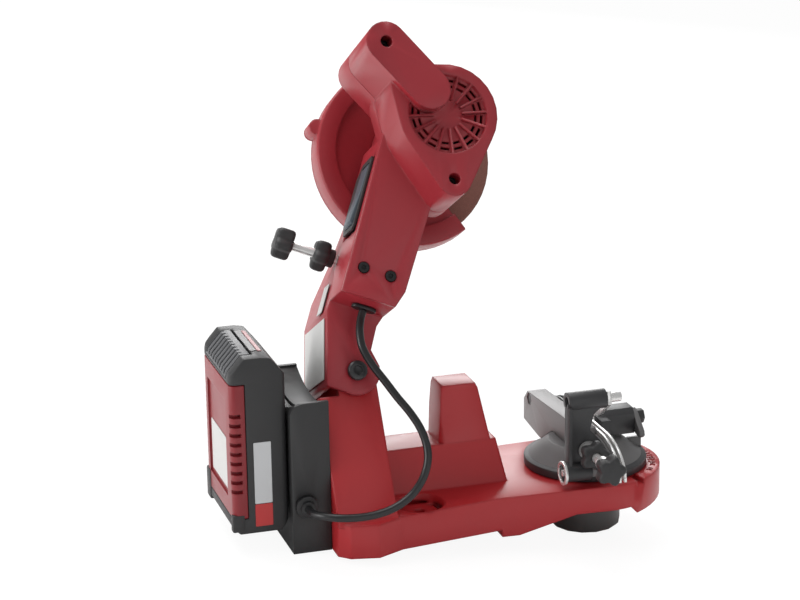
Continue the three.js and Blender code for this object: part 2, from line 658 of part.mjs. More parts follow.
function armShellNear() {
  const low = SPLIT_T + FIT;
  const arm = prism(armOutline, low, ARM_NEAR)
    .intersect(box(STEP_P, armReach, -armReach, armReach, 0, HANDLE_NEAR));
  let shell = union(arm, prism(housingOutline(0), low, HOUSING_NEAR), prism(handleOutline(0), low, HANDLE_NEAR));
  const floor = HOUSING_NEAR - VENT_DEEP - WALL;
  let motorRoom = rod(HOUSING_R - WALL, low - OVER, floor, 40, out, 0);
  motorRoom = motorRoom.subtract(rod(SCREW_R + WALL, low - OVER, HOUSING_NEAR, 16, LOBE.p, LOBE.r));
  shell = shell.subtract(motorRoom);
  shell = shell.subtract(prism(handleOutline(WALL), low - OVER, HANDLE_NEAR - WALL)
    .subtract(rod(SCREW_R + 2 * WALL, low - OVER, HANDLE_NEAR, 16, HANDLE_TOP.p, HANDLE_TOP.r))
    .subtract(prism(housingOutline(-FIT), 0, HANDLE_NEAR)));
  shell = shell.subtract(ventCuts().subtract(prism(handleOutline(-FIT), HOUSING_NEAR - VENT_DEEP - WALL, HANDLE_NEAR)));
  for (const [p, r, face] of screwPlaces) {
    const shank = rod(SCREW_R + FIT, low - OVER, face + OVER, 12, p, r);
    const seat = face - Math.min(SCREW_SUNK, face - low - 1);
    shell = shell.subtract(shank).subtract(rod(SCREW_HOLE_R, seat, face + OVER, 20, p, r));
  }
  return shell;
}

piece('arm_shell_far', armShellFar(), RED, armFrame);
piece('arm_shell_near', armShellNear(), RED, armFrame);

// Screws that hold the two shells together
screwPlaces.forEach(([p, r, face], index) => {
  const seat = face - Math.min(SCREW_SUNK, face - SPLIT_T - FIT - 1) + FIT;
  const tip = SPLIT_T - 3 * SCREW_R;
  const screw = union(rod(SCREW_R - FIT / 2, tip, seat + FIT, 12, p, r), rod(SCREW_HEAD_R, seat, seat + SCREW_HEAD_H, 16, p, r));
  const drive = rod(SCREW_HEAD_R / 2, seat + SCREW_HEAD_H / 2, seat + 2 * SCREW_HEAD_H, 6, p, r);
  piece(`shell_screw_${index + 1}`, screw.subtract(drive), DARK_STEEL, armFrame);
});

// Hinge bolt with its nut, bushes and return spring
const boltHead = turned([[0, FORK_HALF + FIT], [BOLT_HEAD_R, FORK_HALF + FIT], [BOLT_HEAD_R, FORK_HALF + BOLT_HEAD_H - 1],
  [BOLT_HEAD_R - 1, FORK_HALF + BOLT_HEAD_H], [0, FORK_HALF + BOLT_HEAD_H]], 24);
const boltDrive = rod(BOLT_HEAD_R / 2, FORK_HALF + BOLT_HEAD_H / 2, FORK_HALF + 2 * BOLT_HEAD_H, 6);
piece('pivot_bolt', union(rod(BOLT_R, -FORK_HALF - BOLT_HEAD_R, FORK_HALF + 1), boltHead).subtract(boltDrive), DARK_STEEL, hingeFrame);
piece('pivot_nut', rod(BOLT_HEAD_R, -FORK_HALF - BOLT_HEAD_R + 1, -FORK_HALF - FIT, 6)
  .subtract(rod(BOLT_R + FIT, -FORK_HALF * 2, 0, 20)), STEEL, hingeFrame);
piece('pivot_bush', ring(BOLT_R + FIT, BUSH_R, -TONGUE_FAR, TONGUE_NEAR, 24), BRASS, hingeFrame);

class Helix extends THREE.Curve {
  constructor(radius, turns, from, to) {
    super();
    Object.assign(this, { radius, turns, from, to });
  }

  getPoint(share, target = new THREE.Vector3()) {
    const angle = 2 * Math.PI * this.turns * share;
    return target.set(this.radius * Math.cos(angle), this.radius * Math.sin(angle),
      this.from + (this.to - this.from) * share);
  }
}

function roundSection(radius, sides) {
  return shapeOf(arc(0, 0, radius, 0, 360 - 360 / sides, sides - 1));
}

function tubeAlong(curve, radius, sides, steps) {
  return toSolid(new THREE.ExtrudeGeometry(roundSection(radius, sides), { steps, extrudePath: curve, bevelEnabled: false }));
}

const springRoom = (FORK_HALF - CHEEK) - TONGUE_FAR - 3 * SPRING_WIRE_R;
const springMid = -(TONGUE_FAR + FORK_HALF - CHEEK) / 2;
piece('return_spring', tubeAlong(new Helix(SPRING_MEAN_R, SPRING_TURNS, springMid - springRoom / 2, springMid + springRoom / 2),
  SPRING_WIRE_R, 5, SPRING_TURNS * 12), STEEL, hingeFrame);

// Motor and spindle, all about the disc's axis
const canEnd = 2.5;
piece('motor_can', ring(MOTOR_R - 2, MOTOR_R, MOTOR_FAR, MOTOR_NEAR, 30, out, 0)
  .add(ring(SHAFT_R * 3, MOTOR_R - 1, MOTOR_FAR, MOTOR_FAR + canEnd, 30, out, 0)), STEEL, armFrame);
piece('motor_end_cap', ring(SHAFT_R + FIT, MOTOR_R, MOTOR_NEAR + FIT, MOTOR_NEAR + 3 * canEnd, 30, out, 0), BLACK, armFrame);
piece('front_bearing', ring(SHAFT_R + FIT / 2, SHAFT_R * 3 - FIT, MOTOR_FAR - 2 * canEnd, MOTOR_FAR + canEnd, 24, out, 0), STEEL, armFrame);
const fanFrom = MOTOR_NEAR + 4 * canEnd;
const fanTo = HOUSING_NEAR - VENT_DEEP - WALL - 2;
piece('spindle', union(rod(SHAFT_R, GUARD_FAR - 8, fanTo - 1, 20, out, 0)), STEEL, armFrame);
piece('rotor', ring(SHAFT_R + FIT, MOTOR_R - 4, MOTOR_FAR + 3 * canEnd, MOTOR_NEAR - 3 * canEnd, 30, out, 0), DARK_STEEL, armFrame);
let fan = union(ring(SHAFT_R + FIT, SHAFT_R * 2.4, fanFrom, fanTo, 20, out, 0), ring(SHAFT_R * 2, HOUSING_R - 3 * WALL, fanFrom, fanFrom + 1.5, 30, out, 0));
const fanBlades = 8;
for (let i = 0; i < fanBlades; i += 1) {
  const blade = box(SHAFT_R * 2, HOUSING_R - 3 * WALL - 1, -0.7, 0.7, fanFrom + 1, fanTo - 1);
  fan = fan.add(blade.rotate([0, 0, (360 * i) / fanBlades]).translate([out, 0, 0]));
}
piece('cooling_fan', fan, BLACK, armFrame);
const discHalf = DISC_T / 2;
piece('grinding_disc', turned([[DISC_BORE_R, -discHalf], [DISC_R - 1.4, -discHalf], [DISC_R, -discHalf / 3], [DISC_R, discHalf / 3],
  [DISC_R - 1.4, discHalf], [DISC_BORE_R, discHalf], [DISC_BORE_R, -discHalf]], 48, out, 0), ABRASIVE, armFrame);
piece('inner_flange', turned([[SHAFT_R + FIT, -discHalf + FIT], [DISC_BORE_R - FIT, -discHalf + FIT], [DISC_BORE_R - FIT, discHalf + FIT],
  [FLANGE_R, discHalf + FIT], [FLANGE_R, 2 * discHalf + FIT], [SHAFT_R * 3, 2 * discHalf + 1], [SHAFT_R * 3, MOTOR_FAR / 2],
  [SHAFT_R + FIT, MOTOR_FAR / 2], [SHAFT_R + FIT, -discHalf + FIT]], 24, out, 0), STEEL, armFrame);
piece('outer_flange', ring(SHAFT_R + FIT, FLANGE_R, -2 * discHalf - FIT, -discHalf - FIT, 24, out, 0), STEEL, armFrame);
piece('disc_nut', rod(2.6 * SHAFT_R, -4 * discHalf, -2 * discHalf - 2 * FIT, 6, out, 0)
  .subtract(rod(SHAFT_R + FIT, -GUARD_R, 0, 16, out, 0)), STEEL, armFrame);

// Guard round the disc with a screwed cover on its far side
function sector(fromDeg, toDeg, radius) {
  return [[0, 0], ...arc(0, 0, radius, fromDeg, toDeg, 24)];
}

function guardRing(profile, fromDeg, toDeg) {
  const whole = turned(profile, 60);
  return whole.intersect(prism(sector(fromDeg, toDeg, 2 * GUARD_R), -GUARD_R, GUARD_R));
}

function guard() {
  const floorTop = GUARD_NEAR - GUARD_STEP;
  const floorLow = floorTop - GUARD_WALL;
  const bandIn = GUARD_R - GUARD_BAND;
  const body = guardRing([
    [FLANGE_R + 1, floorLow], [bandIn + GUARD_WALL, floorLow], [bandIn + GUARD_WALL, GUARD_NEAR - GUARD_WALL],
    [GUARD_R - GUARD_WALL, GUARD_NEAR - GUARD_WALL], [GUARD_R - GUARD_WALL, GUARD_FAR], [GUARD_R, GUARD_FAR],
    [GUARD_R, GUARD_NEAR - 1], [GUARD_R - 1, GUARD_NEAR], [bandIn, GUARD_NEAR], [bandIn, floorTop], [FLANGE_R + 1, floorTop],
    [FLANGE_R + 1, floorLow],
  ], GUARD_FROM_DEG, GUARD_TO_DEG);
  const hub = ring(FLANGE_R + 1, NECK_R, floorLow, floorTop, 40);
  let whole = union(body, hub);
  for (const angle of EAR_AT_DEG) {
    whole = whole.add(rod(EAR_R, GUARD_FAR, GUARD_NEAR - GUARD_WALL, 20, GUARD_R + OVER / 2, 0)
      .subtract(rod(GUARD_R - GUARD_WALL, GUARD_FAR - OVER, GUARD_NEAR, 60))
      .rotate([0, 0, angle]));
    whole = whole.subtract(rod(1.6, GUARD_FAR - OVER, 0, 10, GUARD_R + OVER / 2, 0).rotate([0, 0, angle]));
  }
  return whole.translate([out, 0, 0]);
}

function guardCover() {
  const low = GUARD_FAR - GUARD_WALL;
  let plate = guardRing([[FLANGE_R + 3, low], [GUARD_R - 1, low], [GUARD_R, low + 1], [GUARD_R, GUARD_FAR - FIT], [FLANGE_R + 3, GUARD_FAR - FIT],
    [FLANGE_R + 3, low]], GUARD_FROM_DEG + 3, GUARD_TO_DEG - 3);
  for (const angle of EAR_AT_DEG) {
    plate = plate.add(rod(EAR_R, low, GUARD_FAR - FIT, 20, GUARD_R + OVER / 2, 0).rotate([0, 0, angle]));
    plate = plate.subtract(rod(1.8, low - OVER, 0, 10, GUARD_R + OVER / 2, 0).rotate([0, 0, angle]));
  }
  return plate.translate([out, 0, 0]);
}

piece('disc_guard', guard(), RED, armFrame);
piece('guard_cover', guardCover(), RED, armFrame);
EAR_AT_DEG.forEach((angle, index) => {
  const low = GUARD_FAR - GUARD_WALL;
  const screw = union(rod(1.3, low - 1, -2, 10, GUARD_R + OVER / 2, 0), rod(2.8, low - 2.2, low - FIT, 14, GUARD_R + OVER / 2, 0));
  piece(`guard_screw_${index + 1}`, screw.rotate([0, 0, angle]).translate([out, 0, 0]), STEEL, armFrame);
});

// Label plate on the rear of the fork, switch, cable gland, depth stop
function alongPanel(share, rise) {
  const run = [PANEL_TOP_P - PANEL_FOOT_P, ARM_REAR_R - 1 - PANEL_FOOT_R];
  const length = Math.hypot(...run);
  return [PANEL_FOOT_P + run[0] * share - (run[1] / length) * rise, PANEL_FOOT_R + run[1] * share + (run[0] / length) * rise];
}
const labelT = 0.6;
piece('label_plate', prism([alongPanel(0.1, FIT), alongPanel(0.92, FIT), alongPanel(0.92, labelT + FIT), alongPanel(0.1, labelT + FIT)],
  -FORK_HALF + 2 * WALL, FORK_HALF - 2 * WALL), LABEL, armFrame);

function switchOutline(inset) {
  const l = SWITCH.long / 2 - inset;
  const w = SWITCH.wide / 2 - inset;
  const c = SWITCH.corner - inset / 2;
  return [[-l, w - c / 3], [-l, -w + c], [-l + c, -w], [l - c, -w], [l, -w + c], [l, w - c / 3], [l - c / 3, w], [-l + c / 3, w]];
}

// A prism of an outline in (along the arm, along the hinge axis), growing to the rear
function prismToRear(points, from, to) {
  const geometry = new THREE.ExtrudeGeometry(shapeOf(points.map(([x, y]) => [x, -y])), { depth: to - from, bevelEnabled: false });
  geometry.rotateX(-Math.PI / 2);
  geometry.translate(0, from, 0);
  return toSolid(geometry);
}

const bezelOuter = prismToRear(switchOutline(0), ARM_REAR_R + FIT, ARM_REAR_R + SWITCH_BEZEL);
const bezelBody = box(-SWITCH.long / 2 + 2 * SWITCH_BEZEL, SWITCH.long / 2 - 2 * SWITCH_BEZEL, ARM_REAR_R - 4 * WALL, ARM_REAR_R + 1,
  -SWITCH.wide / 2 + 2 * SWITCH_BEZEL, SWITCH.wide / 2 - 2 * SWITCH_BEZEL);
const rockerShift = ROCKER.t - SWITCH.t;
const rockerWell = box(-ROCKER.long / 2 - FIT, ROCKER.long / 2 + FIT, ARM_REAR_R - ROCKER.deep, ARM_REAR_R + 2 * SWITCH_BEZEL,
  -ROCKER.wide / 2 - FIT + rockerShift, ROCKER.wide / 2 + FIT + rockerShift);
piece('switch_bezel', union(bezelOuter, bezelBody).subtract(rockerWell).translate([SWITCH.p, 0, SWITCH.t]), BLACK, armFrame);
const rockerTop = ARM_REAR_R + SWITCH_BEZEL + ROCKER.proud;
const rockerProfile = [
  [-ROCKER.long / 2 + FIT, ARM_REAR_R - 1], [0, ARM_REAR_R - ROCKER.deep / 2], [ROCKER.long / 2 - FIT, ARM_REAR_R - 1],
  [ROCKER.long / 2 - FIT, ARM_REAR_R + SWITCH_BEZEL - 1], [ROCKER.long / 2 - 2, rockerTop - 2], [0, ARM_REAR_R + SWITCH_BEZEL],
  [-ROCKER.long / 2 + 2, rockerTop], [-ROCKER.long / 2 + FIT, ARM_REAR_R + SWITCH_BEZEL],
];
piece('switch_rocker', prism(rockerProfile, -ROCKER.wide / 2 + FIT, ROCKER.wide / 2 - FIT)
  .translate([SWITCH.p, 0, ROCKER.t]), GREY, armFrame);

const armGland = { r: 8, t: 43, from: STEP_P - 2.5 };
piece('arm_cable_gland', prismAlongX(outlineRound([[armGland.r - 3.5, armGland.t, 4.2], [armGland.r + 3.5, armGland.t, 4.2]], 16),
  armGland.from, STEP_P - FIT), RUBBER, armFrame);

piece('depth_screw', rodAlongY(DEPTH_SCREW_R, -DEPTH_TIP, DEPTH_KNOB_R0 - FIT, DEPTH.p, DEPTH.t, 16), STEEL, armFrame);
const upright = (solid) => solid.rotate([-90, 0, 0]).translate([DEPTH.p, 0, DEPTH.t]);
piece('depth_knob', upright(union(starKnob(DEPTH_KNOB_R, DEPTH_KNOB_R0, DEPTH_KNOB_R0 + DEPTH_KNOB_H))), BLACK, armFrame);
piece('depth_lock_knob', upright(starKnob(DEPTH_KNOB_R, LOCK_R0, LOCK_R0 + LOCK_H)
  .subtract(rod(DEPTH_SCREW_R + FIT, 0, 2 * LOCK_R0, 16))
  .add(ring(DEPTH_SCREW_R + FIT, 2 * DEPTH_SCREW_R, ARM_REAR_R + 1 + FIT, LOCK_R0 + 1, 20))), BLACK, armFrame);

// Battery dock: an open-topped housing on the rear of the pedestal
const dockFront = FOOT_REAR_X - FIT;
const channel = { half: 22, low: 38, deep: 8.5 };
function dock() {
  const side = [
    [DOCK_REAR_X, 0], [dockFront, 0], [dockFront, DOCK_TOP_Z],
    ...arc(DOCK_REAR_X + DOCK_REAR_ROUND, DOCK_TOP_Z - DOCK_REAR_ROUND, DOCK_REAR_ROUND, 90, 180, 5),
  ];
  let body = prismAlongY(side, -DOCK_HALF, DOCK_HALF);
  // The top dips between its side walls, and the battery's block slides in from above
  const dipR = (DOCK_HALF * DOCK_HALF + DOCK_SAG * DOCK_SAG) / (2 * DOCK_SAG);
  const dip = rodAlongX(dipR, DOCK_REAR_X - OVER, dockFront + OVER, 0, DOCK_TOP_Z - DOCK_SAG + dipR, 72);
  body = body.subtract(dip.intersect(box(DOCK_REAR_X - OVER, dockFront + OVER, -DOCK_HALF + WALL, DOCK_HALF - WALL, 0, DOCK_TOP_Z * 2)));
  body = body.subtract(box(DOCK_REAR_X - OVER, DOCK_REAR_X + channel.deep, -channel.half - FIT, channel.half + FIT,
    channel.low, DOCK_TOP_Z + OVER));
  // Hollow from below, with a web across the middle
  const roomX = DOCK_REAR_X + channel.deep + WALL;
  for (const sideSign of [-1, 1]) {
    const y0 = sideSign < 0 ? -DOCK_HALF + WALL : RIB / 2;
    const y1 = sideSign < 0 ? -RIB / 2 : DOCK_HALF - WALL;
    body = body.subtract(box(roomX, dockFront - WALL, y0, y1, -OVER, DOCK_TOP_Z - DOCK_SAG - WALL * 2));
  }
  for (const z of dockScrewZ) body = body.subtract(rodAlongX(SCREW_R + FIT, roomX - OVER, dockFront + OVER, dockScrewY, z, 12));
  body = body.subtract(rodAlongY(dockGland.r + FIT, -DOCK_HALF - OVER, -DOCK_HALF + WALL + OVER, dockGland.x, dockGland.z, 20));
  const bladeRoom = box(DOCK_REAR_X + channel.deep - OVER, roomX + OVER, -bladeHalf - FIT, bladeHalf + FIT,
    channel.low + WALL, channel.low + 5 * WALL);
  return body.subtract(bladeRoom);
}
const dockScrewZ = [30, 62];
const dockScrewY = -8;
const dockGland = { x: -71.5, z: 30, r: 5.4, flange: 6.8, long: 6 };
const bladeHalf = 12;
piece('battery_dock', dock(), BLACK);
dockScrewZ.forEach((z, index) => {
  const head = DOCK_REAR_X + channel.deep + WALL;
  const shank = rodAlongX(SCREW_R, dockFront - WALL - 1, dockFront, dockScrewY, z, 12);
  const cap = rodAlongX(SCREW_HEAD_R, dockFront - WALL - FIT - SCREW_HEAD_H, dockFront - WALL - FIT, dockScrewY, z, 14);
  piece(`dock_screw_${index + 1}`, union(shank, cap).intersect(box(head, dockFront, -DOCK_HALF, DOCK_HALF, 0, DOCK_TOP_Z)), STEEL);
});
piece('dock_cable_gland', union(
  rodAlongY(dockGland.r, -DOCK_HALF - 1, -DOCK_HALF + WALL, dockGland.x, dockGland.z, 20),
  rodAlongY(dockGland.flange, -DOCK_HALF - WALL, -DOCK_HALF - FIT, dockGland.x, dockGland.z, 20),
  rodAlongY(dockGland.r - 1, -DOCK_HALF - dockGland.long, -DOCK_HALF - WALL + 1, dockGland.x, dockGland.z, 20),
), RUBBER);
let blades = box(DOCK_REAR_X + channel.deep + FIT, DOCK_REAR_X + channel.deep + WALL, -bladeHalf, bladeHalf,
  channel.low + WALL + FIT, channel.low + 5 * WALL - FIT);
for (const y of [-9, -3, 3, 9]) {
  blades = blades.add(box(DOCK_REAR_X + WALL / 2, DOCK_REAR_X + channel.deep + 1, y - 0.5, y + 0.5, channel.low + 2 * WALL, channel.low + 4 * WALL));
}
piece('dock_contacts', blades, BRASS);

// Battery pack: a dark case holds a red cover, and slides up off the dock
const batteryFront = DOCK_REAR_X - 0.8;
const coverFront = BATTERY_REAR_X + 9;
const coverLow = 25;
const coverHigh = 108;
const caseRound = 4;
function batteryCase() {
  const side = [
    [BATTERY_REAR_X + caseRound, BATTERY_BOTTOM_Z], [batteryFront - 5, BATTERY_BOTTOM_Z], [batteryFront, BATTERY_BOTTOM_Z + 6],
    [batteryFront, BATTERY_TOP_Z - 12], [batteryFront - 9, BATTERY_TOP_Z - 1], [batteryFront - 15, BATTERY_TOP_Z],
    [BATTERY_REAR_X + 9, BATTERY_TOP_Z], [BATTERY_REAR_X + 1, BATTERY_TOP_Z - 9], [BATTERY_REAR_X, BATTERY_TOP_Z - 12],
    [BATTERY_REAR_X, BATTERY_BOTTOM_Z + caseRound],
  ];
  const plan = outlineRound([-1, 1].flatMap((s) => [
    [BATTERY_REAR_X + caseRound, s * (BATTERY_HALF - caseRound), caseRound],
    [batteryFront - caseRound, s * (BATTERY_HALF - caseRound), caseRound],
  ]), 12);
  let body = prismAlongY(side, -BATTERY_HALF, BATTERY_HALF).intersect(prism(plan, 0, BATTERY_TOP_Z + OVER));
  const whole = body;
  body = body.subtract(box(BATTERY_REAR_X - OVER, coverFront + FIT, -BATTERY_HALF - OVER, BATTERY_HALF + OVER, coverLow - FIT, coverHigh + FIT));
  // The block that enters the dock, with slots for the contact blades
  let block = box(batteryFront - 1, DOCK_REAR_X + channel.deep - 1, -channel.half, channel.half, channel.low + FIT, DOCK_TOP_Z - DOCK_SAG - FIT);
  for (const y of [-9, -3, 3, 9]) {
    block = block.subtract(box(DOCK_REAR_X, DOCK_REAR_X + channel.deep + OVER, y - 1.2, y + 1.2, channel.low - OVER, channel.low + 4 * WALL + FIT));
  }
  body = body.add(block);
  body = body.subtract(latchRoom(FIT, LATCH_TRAVEL));
  return { body, whole };
}
const latchHalf = 25;
function latchRoom(gap, travel = 0) {
  const front = gap + travel;
  return prismAlongY([
    [BATTERY_REAR_X - OVER, BATTERY_TOP_Z - 13 - gap], [BATTERY_REAR_X + 6 + front, BATTERY_TOP_Z - 13 - gap],
    [BATTERY_REAR_X + 15 + front, BATTERY_TOP_Z - 4], [BATTERY_REAR_X + 15 + front, BATTERY_TOP_Z + OVER],
    [BATTERY_REAR_X - OVER, BATTERY_TOP_Z + OVER],
  ], -latchHalf - gap, latchHalf + gap);
}
const { body: caseBody, whole: batteryWhole } = batteryCase();
piece('battery_case', caseBody, BLACK);
function batteryCover() {
  let cover = batteryWhole.intersect(box(BATTERY_REAR_X - OVER, coverFront, -BATTERY_HALF - OVER, BATTERY_HALF + OVER, coverLow, coverHigh));
  const slots = 7;
  const pitch = 9;
  for (let i = 0; i < slots; i += 1) {
    const z = coverLow + 11 + i * pitch;
    for (const s of [-1, 1]) {
      const y = s * BATTERY_HALF;
      cover = cover.subtract(box(BATTERY_REAR_X - OVER, BATTERY_REAR_X + 5.5, y - 3, y + 3, z, z + 3.6));
    }
  }
  const plate = prismAlongX(outlineRound([-1, 1].flatMap((s) => [
    [s * 19, coverLow + 10, 3], [s * 19, coverHigh - 10, 3],
  ]), 12), BATTERY_REAR_X - OVER, BATTERY_REAR_X + 1);
  return cover.subtract(plate);
}
piece('battery_cover', batteryCover(), RED);
let latch = batteryWhole.intersect(latchRoom(0));
for (let i = 0; i < 9; i += 1) {
  const y = -latchHalf + 3.5 + i * 5.5;
  latch = latch.subtract(box(-2, 14, y, y + 2.2, -1.3, 2).rotate([0, -48, 0]).translate([BATTERY_REAR_X + 1, 0, BATTERY_TOP_Z - 9.5]));
}
piece('battery_latch', latch, GREY);

// Turntable, vise body and rails. A frame of its own stands on the swivel axis
const vise = new THREE.Group();
vise.position.set(TABLE.x, 0, 0);
sharpener.add(vise);
const tableLow = DECK_Z + FIT;
function tableProfile(gap) {
  return [
    [0, tableLow - gap], [TABLE.r + gap, tableLow - gap], [TABLE.r + gap, tableLow + TABLE_RIM_H + gap],
    [TABLE.r - 3 + gap, tableLow + TABLE_RIM_H + 1 + gap], [TABLE_CONE_TOP_R + gap, TABLE_TOP_Z - 3 + gap],
    [TABLE_CONE_TOP_R - 4, TABLE_TOP_Z + gap], [0, TABLE_TOP_Z + gap],
  ];
}
const pointer = box(TABLE.r - 10, TABLE.r - 1, -1.5, 1.5, TABLE_TOP_Z - 12, TABLE_TOP_Z - 3.5);
piece('turntable', turned(tableProfile(0), 48).add(pointer).subtract(rod(SWIVEL_BOLT_R + FIT, 0, TABLE_TOP_Z - WALL, 20))
  .subtract(rod(7.5, TABLE_TOP_Z - 3 * WALL, TABLE_TOP_Z + OVER, 6)), BLACK, vise);
piece('swivel_bolt', union(rod(SWIVEL_BOLT_R, KNOB_BOTTOM_Z + 3, TABLE_TOP_Z - 2 * WALL - 1, 20),
  rod(7, TABLE_TOP_Z - 3 * WALL + FIT, TABLE_TOP_Z - 1, 6)), STEEL, vise);
const knobTop = NOSE_ARCH_Z - FIT;
piece('swivel_knob', union(
  turned([[0, KNOB_BOTTOM_Z], [KNOB_R - 2, KNOB_BOTTOM_Z], [KNOB_R, KNOB_BOTTOM_Z + 2], [KNOB_R, KNOB_BOTTOM_Z + KNOB_H - 1],
    [KNOB_R - 1, KNOB_BOTTOM_Z + KNOB_H], [0, KNOB_BOTTOM_Z + KNOB_H]], KNOB_FACETS),
  rod(KNOB_R / 2, KNOB_BOTTOM_Z + KNOB_H - 1, knobTop, 20),
).subtract(rod(SWIVEL_BOLT_R + FIT, KNOB_BOTTOM_Z + 2, knobTop + OVER, 16)), BLACK, vise);

function viseBody() {
  const wingSide = [
    [WING_NEAR_V, DECK_Z], [WING_NEAR_V, WING_TOP_Z + 2], [0, WING_TOP_Z + 2], [WING_FAR_V - 7, WING_TOP_Z - 2],
    [WING_FAR_V, WING_TOP_Z - 9], [WING_FAR_V, 28], [WING_FAR_V - 28, 25], [TABLE.r, 25],
  ];
  const wingFront = RAIL_FIXED_U - FIT;
  let body = prismAlongX(wingSide, WING_REAR_U, wingFront);
  // Floor under the rails and the front wall that carries the clamp
  const floorTop = TABLE_TOP_Z + VISE_FLOOR;
  body = body.add(box(WING_REAR_U + 1, CLAMP.u + 6, -20, 20, DECK_Z + OVER, floorTop));
  body = body.add(box(CLAMP.u, CLAMP.u + 6, -16, 16, floorTop - 1, CLAMP.high - 3));
  body = body.add(prismAlongX([[-CLAMP.half, CLAMP.low], [CLAMP.half, CLAMP.low], [CLAMP.half, CLAMP.high - 3],
    [CLAMP.half - 3, CLAMP.high], [-CLAMP.half + 3, CLAMP.high], [-CLAMP.half, CLAMP.high - 3]], CLAMP.u + 3, CLAMP.end));
  // Lug for the stop bracket's hinge
  const lugR = BARREL_R - WALL / 2;
  body = body.add(rodAlongX(lugR, LOWER_BARREL.to + FIT, wingFront, BRACKET.hingeV, BRACKET.hingeZ, 24));
  body = body.add(box(LOWER_BARREL.to + FIT, wingFront, BRACKET.hingeV, WING_NEAR_V + 8, BRACKET.hingeZ - lugR, BRACKET.hingeZ + lugR));
  body = body.subtract(turned(tableProfile(FIT), 48));
  body = body.subtract(rod(8.2, TABLE_TOP_Z - OVER, TABLE_TOP_Z + 1, 20));
  body = body.subtract(rodAlongX(BOLT_R / 2 + FIT, LOWER_BARREL.to - OVER, wingFront + OVER, BRACKET.hingeV, BRACKET.hingeZ, 12));
  body = body.subtract(rodAlongX(BOLT_R + FIT, CLAMP.u - OVER, CLAMP.end + OVER, 0, CLAMP_AXIS_Z, 16));
  for (const v of railBoltV) {
    body = body.subtract(rodAlongX(SCREW_R + FIT, WING_REAR_U - OVER, wingFront + OVER, v, railBoltZ, 12));
    body = body.subtract(rodAlongX(nutR + FIT, WING_REAR_U - OVER, WING_REAR_U + 2.5, v, railBoltZ, 6));
  }
  return body;
}
const railBoltV = [-14, 60];
const railBoltZ = 44.5;
const nutR = 4;
piece('vise_body', viseBody(), BLACK, vise);
railBoltV.forEach((v, index) => {
  piece(`rail_bolt_${index + 1}`, union(
    rodAlongX(SCREW_R, WING_REAR_U + 1, RAIL_FIXED_U + RAIL_T, v, railBoltZ, 12),
    rodAlongX(nutR, WING_REAR_U + 0.5, WING_REAR_U + 2.5 - FIT, v, railBoltZ, 6),
  ), STEEL, vise);
});

// Rails: flat bars whose ends curve down
function railOutline() {
  const top = arc(0, 0, 1, 90, 0, 9).map(([along, up]) => [
    RAIL_HALF - RAIL_END_LONG * (1 - along), RAIL_TOP_Z - RAIL_END_DROP * (1 - up),
  ]);
  const inner = [
    [RAIL_HALF - RAIL_END_BAR, RAIL_FOOT_Z], [RAIL_HALF - RAIL_END_BAR * 4 / 3, RAIL_TOP_Z - RAIL_END_DROP + 1],
    [RAIL_HALF - RAIL_END_LONG * 3 / 4, TABLE_TOP_Z + VISE_FLOOR + FIT],
  ];
  const right = [...top, [RAIL_HALF, RAIL_FOOT_Z], ...inner];
  return [...right, ...right.map(([v, z]) => [-v, z]).reverse()];
}
const railSolid = prismAlongX(railOutline(), 0, RAIL_T);
let fixedRail = railSolid.translate([RAIL_FIXED_U, 0, 0]);
for (const v of railBoltV) fixedRail = fixedRail.subtract(rodAlongX(SCREW_R + FIT, RAIL_FIXED_U - OVER, OVER, v, railBoltZ, 12));
piece('fixed_rail', fixedRail, STEEL, vise);
piece('moving_rail', railSolid.translate([RAIL_MOVING_U, 0, 0]), STEEL, vise);

// Clamp screw and lever
piece('clamp_screw', rodAlongX(BOLT_R, RAIL_MOVING_U + RAIL_T + FIT, CLAMP.end + 5, 0, CLAMP_AXIS_Z, 16), STEEL, vise);
piece('clamp_lever', prismAlongX(outlineRound([[0, CLAMP_AXIS_Z, LEVER_R], [-20, CLAMP_AXIS_Z - 6, 3]], 16), CLAMP.end + FIT, CLAMP.end + 9)
  .subtract(rodAlongX(BOLT_R + FIT, CLAMP.end - OVER, CLAMP.end + 6, 0, CLAMP_AXIS_Z, 16)), GREY, vise);

